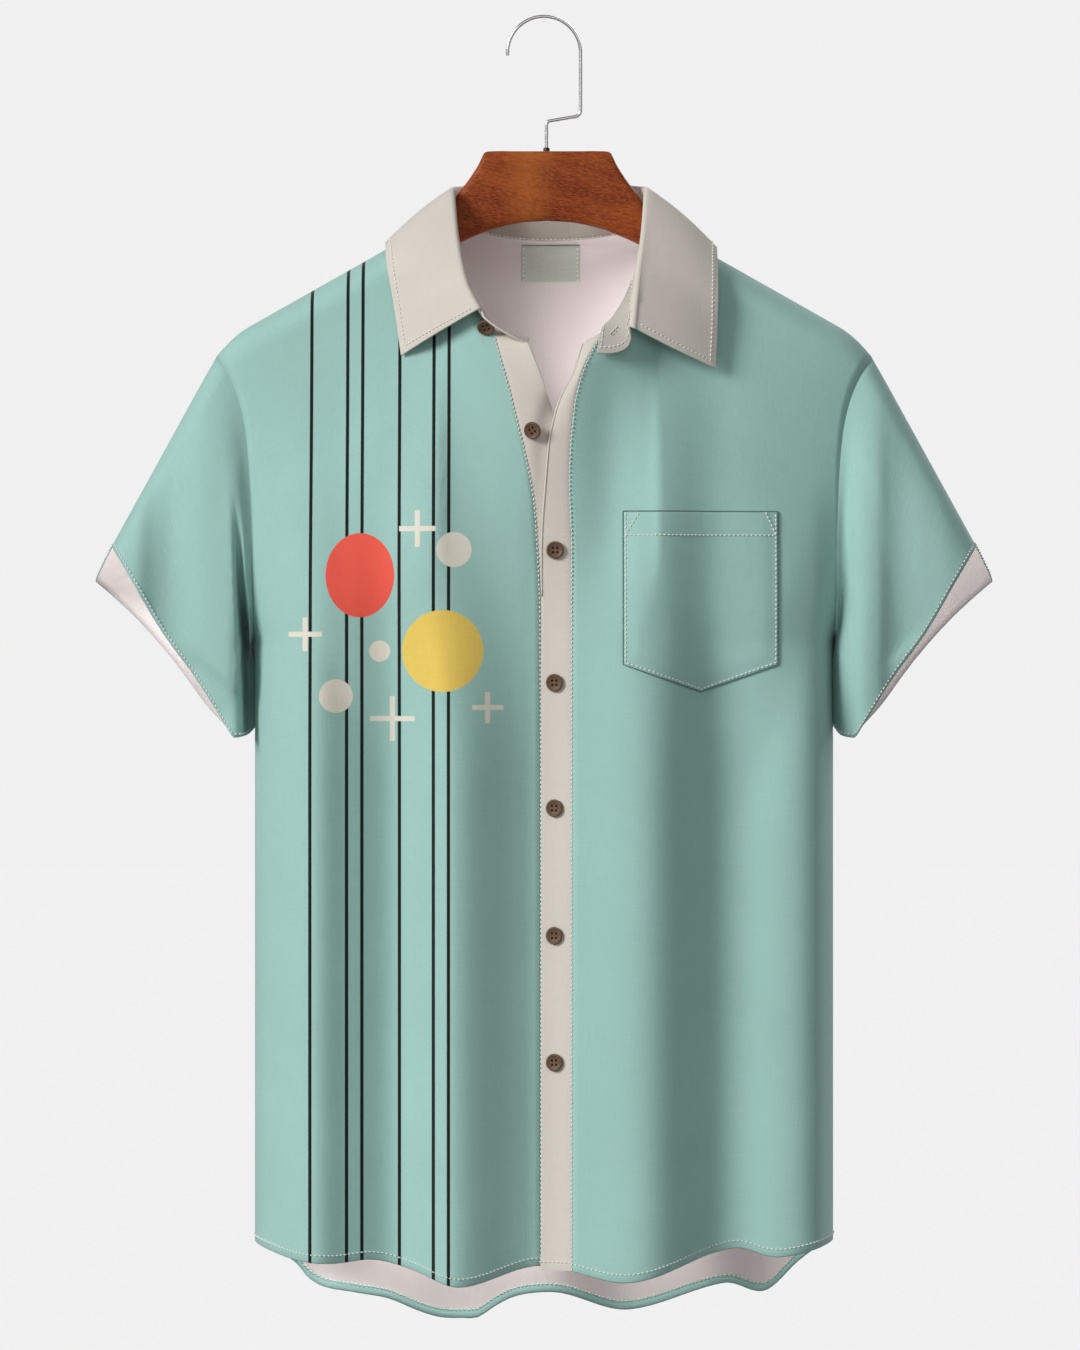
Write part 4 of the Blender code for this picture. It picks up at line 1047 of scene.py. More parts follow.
def button_band_y(x, z, share):
    """Over the front; beside the open neck its free edge flares forward."""
    step = BAND_STEP * smooth(share * BAND_RISE) * (1.0 - smooth((x - STEP_X) / STEP_BLEND))
    flare = BAND_FLARE * smooth((z - FLARE_FROM) / FLARE_GROWTH) * share ** 2
    return right_front_y(x, z) - step - flare


def buttonhole_band_y(x, z, share):
    turn = read_table(BAND_TURN, z, 1) * share ** 2
    return front_y(x, z) - BAND_LIFT * smooth(share * BAND_RISE + 0.3) + turn


band_grid = make_strip(right_grid, BUTTON_BAND, button_band_y, 1)
hole_band_grid = make_strip(left_grid, BUTTONHOLE_BAND, buttonhole_band_y, -1)
button_band = add_cloth("band_with_buttons", band_grid, ["button_band"], "cream_cloth",
                        cream_cloth, cream_cloth, DOUBLED)
hole_band = add_cloth("band_with_buttonholes", hole_band_grid, ["buttonhole_band"],
                      "cream_cloth", cream_cloth, cream_cloth, DOUBLED, flip=True)
print("rows of the two bands:", len(band_grid), len(hole_band_grid))

# %% [markdown]
# ## Sleeves
# A short sleeve is a tube sewn into the armhole. On a hanger it has no arm inside, so it
# falls flat: the upper half spreads forward and back, and the lower half lies against the
# body's side. Each line from armhole to hem is one curve with a middle point, and the
# inner part is kept off the body.

# %% Sleeve tables
#              share of the way from the top corner to the underarm, x, z
CUFF_FRONT = [
    (0.00, 0.3105, -0.3800), (0.22, 0.2938, -0.4075), (0.50, 0.2725, -0.4440),
    (0.75, 0.2480, -0.4775), (1.00, 0.2150, -0.5300),
]
CUFF_BACK = [
    (0.00, 0.3245, -0.4050), (0.25, 0.2955, -0.4320), (0.50, 0.2680, -0.4630),
    (0.75, 0.2440, -0.4955), (0.93, 0.2262, -0.5150), (1.00, 0.2185, -0.5262),
]
CUFF_HALF_DEPTH, CUFF_SQUARENESS, CUFF_CORNER, CUFF_TURN_OVER = 0.042, 3.6, 0.25, 0.45
SLEEVE_PUFF, SLEEVE_SPREAD = 0.010, 0.006
SLEEVE_CLEAR, SLEEVE_BEHIND = 0.0005, 0.0003
SLEEVE_FREE_Z, SIDE_FROM_X, UNDERARM_RISE = -0.395, 0.150, 0.0185
#              turn in degrees, how far that part is drawn to the body's side
UNDERARM_PULL = [(144.0, 0.0), (156.0, 0.5), (166.0, 1.0), (198.0, 1.0), (213.0, 0.2),
                 (230.0, 0.0)]
SLEEVE_ROWS = 34
# Upright folds, as how far the cloth comes forward at each distance from the middle
SLEEVE_FOLDS = {
    -1: [(0.2070, 0.000), (0.2180, 0.006), (0.2240, 0.005), (0.2300, 0.003),
         (0.2440, -0.001), (0.2600, -0.008), (0.2680, -0.010), (0.2790, -0.007),
         (0.2920, 0.000), (0.3200, 0.000)],
    1: [(0.2070, 0.000), (0.2100, -0.010), (0.2150, -0.006), (0.2240, 0.003),
        (0.2385, 0.004), (0.2480, -0.001), (0.2580, -0.003), (0.2740, -0.001),
        (0.2900, 0.001), (0.3200, 0.000)],
}
SLEEVE_FOLDS_FROM, SLEEVE_FOLDS_GROWTH, SLEEVE_FOLDS_BEHIND = -0.250, 0.100, 0.5
# The cleft beside the body: bottom x, edge x, the edge's lean, depth, how strongly
SLEEVE_CLEFT = {-1: (0.2150, 0.2222, 0.041, 0.022, 1.0), 1: (0.2090, 0.2150, 0.0, -0.004, 0.5)}
# One short crease above each hem: x, z, x, z, half width, step below it, how flat it lies
SLEEVE_CREASES = {-1: (0.2100, -0.4910, 0.2440, -0.4620, 0.0050, -0.0045, 0.0),
                  1: (0.2420, -0.4610, 0.2750, -0.4400, 0.0060, 0.0010, 0.8)}
print("sleeve folds:", [len(rows) for rows in SLEEVE_FOLDS.values()])


# %% Sleeve curves
SLEEVE_TUCK, TUCK_LAYERS, SEAM_LAYERS = 0.0022, 1.6, 0.8
CLEFT_WEDGE, CLEFT_LAST_ANGLE, SIDE_CLEAR = 0.0003, 200.0, 0.0008
CLEAR_GROWTH, BEHIND_GROWTH, SIDE_SOFTNESS = 0.05, 0.012, 0.35


def signed_power(value, power):
    """Power of a sine or cosine that keeps its sign; it squares an oval."""
    return math.copysign(abs(value) ** power, value)


def body_side_x(y, z):
    """Half width of the body at depth y; above the armpit it ends at the armhole."""
    face = -1 if y < 0 else 1
    low, high = SIDE_FROM_X, body_half_width(z)
    for _ in range(13):
        middle = (low + high) / 2
        if depth(middle, z, face) > abs(y):
            low = middle
        else:
            high = middle
    return min(low, HALF_WIDTH if z < ARMPIT_Z else armhole_x(z))


def cuff_point(turn, side):
    """Point of a sleeve's hem; turn 0 is the top, a quarter turn the front."""
    power = 2.0 / CUFF_SQUARENESS
    lower_front = math.cos(turn) < 0.0 < math.sin(turn)
    ahead = signed_power(math.sin(turn), CUFF_CORNER if lower_front else power)
    share = (1.0 - signed_power(math.cos(turn), power)) / 2.0
    front = smooth((ahead / CUFF_TURN_OVER + 1.0) / 2.0)
    x, z = (lerp(read_table(CUFF_BACK, share, part), read_table(CUFF_FRONT, share, part),
                 front) for part in (1, 2))
    return Vector((side * x, -CUFF_HALF_DEPTH * ahead, z))


def armhole_ring(side):
    """Points of the armhole, from the shoulder down the front and up the back."""
    ring = []
    for face in (-1, 1):
        rows = range(ROWS_ABOVE, 0, -1) if face < 0 else range(ROWS_ABOVE)
        for row in rows:
            z = lerp(ARMPIT_Z, TIP_Z, row_share(row))
            x = armhole_x(z)
            y = 0.0 if row in (0, ROWS_ABOVE) else face * depth(side * x, z, face)
            ring.append(Vector((side * x, y, z)))
    return ring


# %% Sleeve grid
def sleeve_relief(side, x, z):
    """How far forward the sleeve's folds bring the cloth."""
    grown = smooth((SLEEVE_FOLDS_FROM - z) / SLEEVE_FOLDS_GROWTH)
    *ends, wide, step, flatten = SLEEVE_CREASES[side]
    along, away = beside_stroke(x, z, *ends)
    below = faded(along, 0.5) * smooth(away / wide)
    folds = grown * read_table(SLEEVE_FOLDS[side], x, 1)
    return folds * (1.0 - flatten * below) + step * below


def press_cleft(point, angle, share, pull, side):
    """Sink the sleeve's inner front into the cleft beside the body."""
    near, far, lean, floor, strength = SLEEVE_CLEFT[side]
    far += lean * (point.z - SLEEVE_FREE_Z)
    sunk = floor + CLEFT_WEDGE * (angle - 180.0)
    if angle < CLEFT_LAST_ANGLE and point.y < sunk:
        drawn = lerp(side * point.x, HALF_WIDTH, pull * smooth(share * 2.0))
        deep = smooth((far - drawn) / (far - near)) * smooth(share * 4.0 - 0.5)
        point.y = lerp(point.y, sunk, strength * deep)


def clear_body(point, share, pull, side):
    """Keep the sleeve's inner part beside the body, and never inside it."""
    if point.z < SLEEVE_FREE_Z:
        below = SLEEVE_FREE_Z - point.z
        clear = lerp(SIDE_CLEAR, SLEEVE_CLEAR, smooth(below / CLEAR_GROWTH))
        clear += SLEEVE_BEHIND * smooth(point.y / BEHIND_GROWTH)
        limit = body_side_x(point.y, point.z) + clear
        reach = lerp(side * point.x, limit, pull * smooth(share * 2.0))
        point.x = side * max(reach, limit)


def sleeve_point(start, angle, share, side):
    """Point of a sleeve, a share of the way from armhole to hem."""
    turn = math.radians(angle)
    ahead, inward = math.sin(turn), Vector((0.0, math.sin(turn), -math.cos(turn)))
    end = cuff_point(turn, side)
    pull = read_table(UNDERARM_PULL, angle, 1)
    end.z += UNDERARM_RISE * pull
    low = smooth((1.0 - math.cos(turn)) / 2.0)
    middle = start.lerp(end, 0.5)
    middle.x += side * 2.0 * SLEEVE_SPREAD * low
    middle.z += SLEEVE_SPREAD * low
    point = start.lerp(middle, share).lerp(middle.lerp(end, share), share)
    point.y -= SLEEVE_PUFF * math.sin(math.pi * share) * ahead
    relief = sleeve_relief(side, side * point.x, point.z) * smooth(share * 5.0)
    relief *= smooth(abs(ahead) / SIDE_SOFTNESS)
    point.y += relief * (-1.0 if ahead > 0 else SLEEVE_FOLDS_BEHIND)
    press_cleft(point, angle, share, pull, side)
    point += inward * (SEAM_LAYERS * CLOTH * smooth(1.0 - share * 9.0))
    clear_body(point, share, pull, side)
    return point


def make_sleeve(side):
    """Rows of points from inside the armhole's seam to the hem."""
    ring = armhole_ring(side)
    angles = [360.0 * index / len(ring) for index in range(len(ring))]
    tucked = []
    for start, angle in zip(ring, angles):
        turn = math.radians(angle)
        inward = Vector((0.0, math.sin(turn), -math.cos(turn)))
        tucked.append(start + inward * TUCK_LAYERS * CLOTH
                      - Vector((side * SLEEVE_TUCK, 0.0, 0.0)))
    return [tucked] + [[sleeve_point(start, angle, row / SLEEVE_ROWS, side)
                        for start, angle in zip(ring, angles)]
                       for row in range(SLEEVE_ROWS + 1)]


sleeve_grids = {side: make_sleeve(side) for side in (-1, 1)}
sleeve_right = add_cloth("short_sleeve_right", sleeve_grids[-1], ["sleeve_right"], "mint_cloth",
                         mint_cloth, reverse_cloth, flip=True, closed=True)
sleeve_left = add_cloth("short_sleeve_left", sleeve_grids[1], ["sleeve_left"], "mint_cloth",
                        mint_cloth, reverse_cloth, closed=True)
print("sleeve points:", len(sleeve_grids[1]) * len(sleeve_grids[1][0]))

# %% [markdown]
# ## Collar
# A two-piece collar has a stand, sewn upright into the neck, and a leaf that rolls over
# its top and falls outside. Sections round the neck give the roll and the leaf's edge.
# The stand runs on past the leaf at both ends: one end carries a button and the other, a
# rounded tab, its buttonhole.

# %% Collar tables
#              angle round the neck, roll x, y, z, leaf edge x, y, z
COLLAR = [
    (38.0, (-0.0480, -0.0770, -0.2140), (-0.1012, -0.0470, -0.2448)),
    (52.0, (-0.0576, -0.0660, -0.1944), (-0.1069, -0.0375, -0.2066)),
    (68.0, (-0.0641, -0.0450, -0.1630), (-0.1116, -0.0315, -0.1820)),
    (84.0, (-0.0670, -0.0160, -0.1290), (-0.1130, -0.0160, -0.1655)),
    (92.0, (-0.0670, 0.0000, -0.1240), (-0.1130, 0.0000, -0.1630)),
    (110.0, (-0.0610, 0.0230, -0.1215), (-0.1085, 0.0265, -0.1690)),
    (135.0, (-0.0440, 0.0450, -0.1190), (-0.0860, 0.0420, -0.1720)),
    (158.0, (-0.0210, 0.0590, -0.1175), (-0.0460, 0.0710, -0.1690)),
    (180.0, (0.0030, 0.0620, -0.1170), (0.0030, 0.0790, -0.1670)),
    (202.0, (0.0270, 0.0590, -0.1175), (0.0520, 0.0710, -0.1690)),
    (225.0, (0.0500, 0.0450, -0.1190), (0.0930, 0.0420, -0.1740)),
    (250.0, (0.0680, 0.0230, -0.1215), (0.1170, 0.0265, -0.1720)),
    (268.0, (0.0749, 0.0000, -0.1240), (0.1225, 0.0000, -0.1665)),
    (276.0, (0.0749, -0.0160, -0.1290), (0.1232, -0.0200, -0.1690)),
    (292.0, (0.0724, -0.0450, -0.1606), (0.1238, -0.0430, -0.1958)),
    (306.0, (0.0684, -0.0630, -0.1908), (0.1231, -0.0470, -0.2246)),
    (318.5, (0.0648, -0.0715, -0.2268), (0.1217, -0.0510, -0.2538)),
]
#              angle, the stand's free edge x, y, z
STAND_RIGHT_END = [
    (10.0, (-0.0125, -0.0735, -0.2380)),
    (18.0, (-0.0245, -0.0760, -0.2322)),
    (28.0, (-0.0370, -0.0775, -0.2245)),
]
STAND_LEFT_END = [
    (321.0, (0.0622, -0.0735, -0.2345)),
    (323.0, (0.0600, -0.0742, -0.2395)),
    (325.0, (0.0545, -0.0750, -0.2432)),
    (327.0, (0.0465, -0.0760, -0.2448)),
    (329.0, (0.0372, -0.0768, -0.2446)),
]
STAND_OVER_FROM, STAND_LIFT, STAND_ARCH = 306.0, 0.0014, 0.0080
SEAM_COVER = 0.0042
ROLL_HALF, ROLL_RADIUS, ROLL_TALL, ROLL_DROP, LEAF_BULGE = 0.0026, 0.0013, 0.0026, 0.0020, 0.0022
# Angles round the neck, and over how many degrees each change takes place
STAND_START, END_BLEND = 40.0, 12.0       # the stand's ends lie over the panels
COVER_FROM, COVER_TO, COVER_BLEND = 60.0, 300.0, 40.0    # between these it hides the seam
LEAF_FROM, LEAF_TO = 34.0, 321.0          # between these its head is inside the leaf's roll
STAND_GAP, HEAD_DROP = 0.0002, 0.0024
print("collar sections:", len(COLLAR))


# %% Collar shapes
def collar_up(angle, roll):
    """Direction from the neck's seam to the collar's roll."""
    return (roll - neck_point(angle)).normalized()


def outward_of(up, towards):
    """Direction from the neck to the outside, square to the stand."""
    return (towards - up * towards.dot(up)).normalized()


def dense(rows, steps):
    """Rows of a collar table with more sections read off smooth curves."""
    columns = [[[(row[0], row[part][axis]) for row in rows] for axis in range(3)]
               for part in range(1, len(rows[0]))]
    angles = [lerp(low[0], high[0], step / steps)
              for low, high in zip(rows, rows[1:]) for step in range(steps)] + [rows[-1][0]]
    return [(angle, *(Vector([read_table(table, angle, 1) for table in part])
                      for part in columns)) for angle in angles]


def leaf_section(angle, roll, edge):
    """Points across the leaf: over the roll, then down to its outer edge."""
    up = collar_up(angle, roll)
    away = outward_of(up, edge - roll)
    fall = edge - roll
    normal = up.cross(fall).cross(fall)
    normal = (-normal if normal.dot(up) < 0 else normal).normalized()
    line = [roll - away * ROLL_HALF - up * low for low in (3 * ROLL_DROP, 2 * ROLL_DROP, ROLL_DROP)]
    for turn in (30.0, 60.0, 90.0, 120.0):
        angle_at = math.radians(turn)
        line.append(roll - away * (ROLL_RADIUS + ROLL_RADIUS * math.cos(angle_at))
                    + up * (ROLL_TALL * math.sin(angle_at) - ROLL_DROP))
    for step in range(15):
        share = step / 14
        line.append(roll.lerp(edge, share) + normal * LEAF_BULGE * math.sin(math.pi * share))
    return line


leaf_grid = [leaf_section(*row) for row in dense(COLLAR, 6)]
collar_leaf = add_cloth("leaf_of_collar", leaf_grid, ["collar_leaf"], "cream_cloth",
                        cream_cloth, cream_cloth, DOUBLED)


# %% Collar stand
def stand_section(angle, roll, edges):
    """Points across the stand, from the neck's seam to its head."""
    up = collar_up(angle, roll)
    nearest = min(edges, key=lambda other: abs(other - angle))
    away = outward_of(up, edges[nearest] - roll)
    over = smooth((angle - STAND_OVER_FROM) / END_BLEND)
    start = smooth((STAND_START - angle) / END_BLEND)
    foot = neck_point(angle) + up * STAND_GAP
    foot -= away * (DOUBLED + STAND_GAP) * (1.0 - max(over, start))
    foot.z += STAND_LIFT * (over + start)
    foot -= (up * SEAM_COVER * smooth((angle - COVER_FROM) / COVER_BLEND)
             * smooth((COVER_TO - angle) / COVER_BLEND))
    covered = smooth((angle - LEAF_FROM) / 4.0) * smooth((LEAF_TO - angle) / 2.5)
    head = roll - (away * ROLL_HALF + up * HEAD_DROP) * covered
    arch = foot.lerp(head, 0.4) + Vector((0.0, -0.5, 1.0)) * STAND_ARCH * over
    return [foot.lerp(arch, share).lerp(arch.lerp(head, share), share)
            for share in (step / 8 for step in range(9))]


stand_rows = ([(angle, roll) for angle, roll in STAND_RIGHT_END]
              + [(angle, roll) for angle, roll, _ in COLLAR]
              + [(angle, roll) for angle, roll in STAND_LEFT_END])
leaf_edges = {angle: Vector(edge) for angle, _, edge in COLLAR}
stand_grid = [stand_section(angle, roll, leaf_edges) for angle, roll in dense(stand_rows, 5)]
# The stand's inner side takes the darker cream, which is painted shade.
collar_stand = add_cloth("stand_of_collar", stand_grid, ["collar_stand"], "cream_cloth",
                         cream_cloth, cream_in_painted_shade, DOUBLED)
print("collar points:", sum(len(line) for line in leaf_grid + stand_grid))

# %% [markdown]
# ## Pocket and label
# The patch pocket is stitched down on three sides and open above, with a hem along the
# top. It follows the fold under it. The woven label at the back of the neck is left
# bare: only its ground, with a plain border.

# %% Pocket
POCKET_LEFT, POCKET_RIGHT, POCKET_TOP = 0.0565, 0.1665, -0.357
POCKET_SIDE, POCKET_POINT = -0.4655, -0.4845
POCKET_COLUMNS, POCKET_ROWS = 44, 50
POCKET_HEM, POCKET_LIFT, POCKET_PUFF, HEM_STEP = 0.0165, 0.0013, 0.0011, 0.0004


def pocket_foot(x):
    middle, half = (POCKET_LEFT + POCKET_RIGHT) / 2, (POCKET_RIGHT - POCKET_LEFT) / 2
    return lerp(POCKET_SIDE, POCKET_POINT, 1.0 - abs(x - middle) / half)


def pocket_y(x, z):
    """Just over the panel at the stitched edges, a little puffed between them."""
    inset = min(x - POCKET_LEFT, POCKET_RIGHT - x, z - pocket_foot(x))
    puff = POCKET_PUFF * smooth(inset / 0.012)
    hem = HEM_STEP * smooth((z - POCKET_TOP + POCKET_HEM) / 0.001)
    return front_y(x, z) - (POCKET_LIFT + puff + hem)


pocket_grid = []
for row in range(POCKET_ROWS + 1):
    xs = [lerp(POCKET_LEFT, POCKET_RIGHT, column / POCKET_COLUMNS)
          for column in range(POCKET_COLUMNS + 1)]
    heights = [lerp(pocket_foot(x), POCKET_TOP, row / POCKET_ROWS) for x in xs]
    pocket_grid.append([Vector((x, pocket_y(x, z), z)) for x, z in zip(xs, heights)])
pocket = add_cloth("patch_pocket", pocket_grid, ["pocket"], "mint_cloth", mint_cloth,
                   reverse_cloth, wall=0.0012)

# %% Label
LABEL_CENTRE_X, LABEL_WIDTH, LABEL_TOP, LABEL_HEIGHT = 0.0048, 0.0422, -0.1605, 0.0265
LABEL_GAP = 0.0012
label_grid = []
for row in range(13):
    z = LABEL_TOP - LABEL_HEIGHT * (1.0 - row / 12)
    xs = [LABEL_CENTRE_X + LABEL_WIDTH * (column / 20 - 0.5) for column in range(21)]
    label_grid.append([Vector((x, back_y(x, z) - CLOTH - LABEL_GAP, z)) for x in xs])
neck_label = add_cloth("bare_label", label_grid, ["neck_label"], "label_weave", label_cloth,
                       label_cloth, wall=0.0008)
print("pocket and label made")

# %% [markdown]
# ## Buttons
# A four-hole button is a turned disc with a raised rim and a dished face. One profile is
# spun into the disc and the holes are cut with a Boolean. The result is one mesh, used by
# all seven. Near-black thread fills each hole from behind, so no cloth shows through; its
# colour is painted shade inside the holes.

# %% Button mesh
BUTTON_RADIUS, BUTTON_THICK = 0.0063, 0.0026
HOLE_RADIUS, HOLE_OFFSET = 0.00092, 0.00155
KNOT, KNOT_HEIGHT = (0.00097, 0.00097, 0.0008), 0.0003   # thread in a hole: half size, height
BUTTON_X, BUTTON_LIFT = 0.0080, 0.0005
BUTTON_ZS = (-0.3844, -0.4784, -0.5676, -0.6582, -0.7483)
LOOSE_BUTTON = (-0.0080, -0.2992)
LOOSE_TILT, LOOSE_LIFT = Vector((-0.50, 0.0, -0.28)), 0.0032   # it hangs on its thread
COLLAR_BUTTON = Vector((-0.0412, -0.0704, -0.2250))
COLLAR_BUTTON_WAY = Vector((-0.12, -0.80, -0.59))


def spun(profile, steps, closed=False):
    """Mesh builder holding a profile of (radius, height) spun round Z."""
    builder = bmesh.new()
    verts = [builder.verts.new((radius, 0.0, height)) for radius, height in profile]
    pairs = list(zip(verts, verts[1:] + verts[:1])) if closed else list(zip(verts, verts[1:]))
    edges = [builder.edges.new(pair) for pair in pairs]
    bmesh.ops.spin(builder, geom=verts + edges, cent=(0, 0, 0), axis=(0, 0, 1),
                   angle=2 * math.pi, steps=steps)
    bmesh.ops.remove_doubles(builder, verts=builder.verts, dist=1e-6)
    bmesh.ops.recalc_face_normals(builder, faces=builder.faces)
    return builder


button_profile = [(BUTTON_RADIUS * share, height) for share, height in (
    (0.0, 0.0018), (0.45, 0.00182), (0.66, 0.00195), (0.76, 0.0024), (0.82, BUTTON_THICK),
    (0.90, BUTTON_THICK), (0.965, 0.00235), (1.0, 0.0018), (0.99, 0.0011), (0.93, 0.0005),
    (0.80, 0.0001), (0.0, 0.0))]
disc = link("disc", to_mesh(spun(button_profile, 48), "button"))
HOLES = [(across, along) for across in (-HOLE_OFFSET, HOLE_OFFSET)
         for along in (-HOLE_OFFSET, HOLE_OFFSET)]
pins = bmesh.new()
for hole in HOLES:
    bmesh.ops.create_cone(pins, cap_ends=True, segments=14, radius1=HOLE_RADIUS,
                          radius2=HOLE_RADIUS, depth=0.01,
                          matrix=Matrix.Translation((*hole, 0.0)))
punch = link("punch", to_mesh(pins, "punch"))
cut = disc.modifiers.new("holes", "BOOLEAN")
cut.operation, cut.object, cut.solver = "DIFFERENCE", punch, "EXACT"
bpy.context.view_layer.update()
button_mesh = bpy.data.meshes.new_from_object(disc.evaluated_get(
    bpy.context.evaluated_depsgraph_get()))
button_mesh.shade_smooth()
button_mesh.set_sharp_from_angle(angle=math.radians(42))
for tool in (disc, punch):
    bpy.data.objects.remove(tool, do_unlink=True)
button_mesh.materials.clear()
button_mesh.materials.append(horn)
print("button faces:", len(button_mesh.polygons))


# %% Sew the buttons on
def surface_normal(surface, x, z, step=0.002):
    """Outward normal of a front surface y(x, z)."""
    along_x = Vector((2 * step, surface(x + step, z) - surface(x - step, z), 0.0))
    along_z = Vector((0.0, surface(x, z + step) - surface(x, z - step), 2 * step))
    return along_x.cross(along_z).normalized()


def sew_button(node, place, normal, spin):
    """A button with its back at a place, and the thread in its holes."""
    name = "horn_" + node
    thing = link(name, button_mesh)
    facing = normal.to_track_quat("Z", "Y").to_matrix().to_4x4()
    thing.matrix_world = Matrix.Translation(place) @ facing @ Matrix.Rotation(spin, 4, "Z")
    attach(thing, "root")
    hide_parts(node)
    builder = bmesh.new()
    for hole in HOLES:
        bmesh.ops.create_uvsphere(builder, u_segments=10, v_segments=6, radius=1.0,
                                  matrix=thing.matrix_world
                                  @ Matrix.Translation((*hole, KNOT_HEIGHT))
                                  @ Matrix.Diagonal((*KNOT, 1.0)))
    add_piece(name + "_thread", to_mesh(builder, name + "_thread"), (), "button", thread_with_hole_shade)


def hole_band_y(x, z):
    return front_y(x, z) - BAND_LIFT


for number, z in enumerate(BUTTON_ZS):
    normal = surface_normal(hole_band_y, BUTTON_X, z)
    sew_button("button_%d" % (number + 2), Vector((BUTTON_X, hole_band_y(BUTTON_X, z), z))
               + normal * BUTTON_LIFT, normal, 0.03 * math.sin(2.0 * number))
x, z = LOOSE_BUTTON
normal = surface_normal(right_front_y, x, z)
loose = (normal + LOOSE_TILT).normalized()
sew_button("button_1", Vector((x, right_front_y(x, z), z)) + normal * LOOSE_LIFT, loose, 0.5)
sew_button("button_collar", COLLAR_BUTTON, COLLAR_BUTTON_WAY.normalized(), 0.3)
print("buttons sewn on:", len(BUTTON_ZS) + 2)

# %% [markdown]
# ## Hanger
# The head of the hanger is a broad board with flared shoulders, sawn in two halves that
# are glued at the middle. Sections across it, each a rounded rectangle, are lofted along
# one arm and mirrored. The arms slope down inside the shoulders of the shirt.

# %% Hanger
#              x, top z, bottom z, half thickness, squareness
HANGER_SECTIONS = [
    (0.0000, -0.0960, -0.1460, 0.0070, 5.0),
    (0.0200, -0.0960, -0.1475, 0.0070, 5.0),
    (0.0400, -0.0960, -0.1520, 0.0070, 5.0),
    (0.0452, -0.0970, -0.1540, 0.0070, 5.0),
    (0.0470, -0.1000, -0.1548, 0.0070, 5.0),
    (0.0500, -0.1062, -0.1560, 0.0070, 4.6),
    (0.0570, -0.1170, -0.1590, 0.0070, 4.0),
    (0.0675, -0.1310, -0.1640, 0.0070, 3.0),
    (0.0710, -0.1402, -0.1660, 0.0068, 2.6),
    (0.0760, -0.1488, -0.1700, 0.0068, 2.4),
    (0.0850, -0.1540, -0.1780, 0.0080, 2.4),
    (0.1000, -0.1640, -0.1890, 0.0090, 2.4),
    (0.1180, -0.1755, -0.2010, 0.0100, 2.4),
    (0.1450, -0.1915, -0.2170, 0.0108, 2.4),
    (0.1800, -0.2110, -0.2350, 0.0112, 2.4),
    (0.2020, -0.2240, -0.2460, 0.0105, 2.4),
    (0.2130, -0.2320, -0.2490, 0.0085, 2.4),
    (0.2180, -0.2380, -0.2470, 0.0050, 2.4),
]
HANGER_X = 0.0025


def hanger_ring(x, steps=40):
    top, bottom, half, square = (read_table(HANGER_SECTIONS, x, part) for part in range(1, 5))
    ring, power = [], 2.0 / square
    for step in range(steps):
        turn = 2.0 * math.pi * (step + 0.5) / steps
        upward = signed_power(math.sin(turn), power)
        ring.append(Vector((x, half * signed_power(math.cos(turn), power),
                            lerp(bottom, top, (1.0 + upward) / 2.0))))
    return ring


builder = bmesh.new()
stations = [lerp(low[0], high[0], step / 5) for low, high
            in zip(HANGER_SECTIONS, HANGER_SECTIONS[1:]) for step in range(5)]
stations.append(HANGER_SECTIONS[-1][0])
for side in (-1, 1):
    skin(builder, [[builder.verts.new((HANGER_X + side * point.x, point.y, point.z))
                    for point in hanger_ring(x)] for x in stations], near_cap=False)
bmesh.ops.remove_doubles(builder, verts=builder.verts, dist=1e-6)
bmesh.ops.recalc_face_normals(builder, faces=builder.faces)
hanger_mesh = to_mesh(builder, "hanger", sharp=50)
add_piece("wooden_hanger", hanger_mesh, ["hanger"], "wood", wood)
print("hanger faces:", len(hanger_mesh.polygons))

# %% [markdown]
# ## Hook and ferrule
# One wire is bent into a half circle, comes down a straight side, cranks back under the
# middle and goes into the wood through a small ferrule. A curve with a round bevel is
# that wire. On many real hangers it turns in its hole, and here it stays as it is.

# %% Hook and ferrule
WIRE_RADIUS, HOOK_RADIUS, HOOK_BEND, FOOT_BEND = 0.0012, 0.0263, 0.0045, 0.0030
WIRE_SUNK, FERRULE_GAP, FERRULE_WALL, FERRULE_HEIGHT = 0.0003, 0.0001, 0.0010, 0.0024
HOOK_SIDE_Z, HOOK_CRANK_Z, HOOK_FOOT_X, HANGER_TOP_Z = -0.0665, -0.0725, 0.0018, -0.0960


def arc_points(centre, radius, start, end, steps):
    turns = [math.radians(lerp(start, end, step / steps)) for step in range(steps + 1)]
    return [(centre[0] + radius * math.cos(turn), 0.0, centre[1] + radius * math.sin(turn))
            for turn in turns]


points = arc_points((0.0, WIRE_RADIUS - HOOK_RADIUS), HOOK_RADIUS, 184.0, 0.0, 72)
points += arc_points((HOOK_RADIUS - HOOK_BEND, HOOK_SIDE_Z), HOOK_BEND, 0.0, -80.0, 12)
points += arc_points((HOOK_FOOT_X + FOOT_BEND, HOOK_CRANK_Z - HOOK_BEND), FOOT_BEND, 98.0, 180.0,
                     12)
points.append((HOOK_FOOT_X, 0.0, HANGER_TOP_Z + WIRE_SUNK))
wire = bpy.data.curves.new("hook", "CURVE")
wire.dimensions, wire.bevel_depth, wire.bevel_resolution = "3D", WIRE_RADIUS, 5
wire.use_fill_caps = True
spline = wire.splines.new("POLY")
spline.points.add(len(points) - 1)
for target, point in zip(spline.points, points):
    target.co = (*point, 1.0)
add_piece("wire_hook", wire, ["hook"], "steel", steel)
inner, high = WIRE_RADIUS + FERRULE_GAP, FERRULE_HEIGHT
outer = WIRE_RADIUS + FERRULE_GAP + FERRULE_WALL
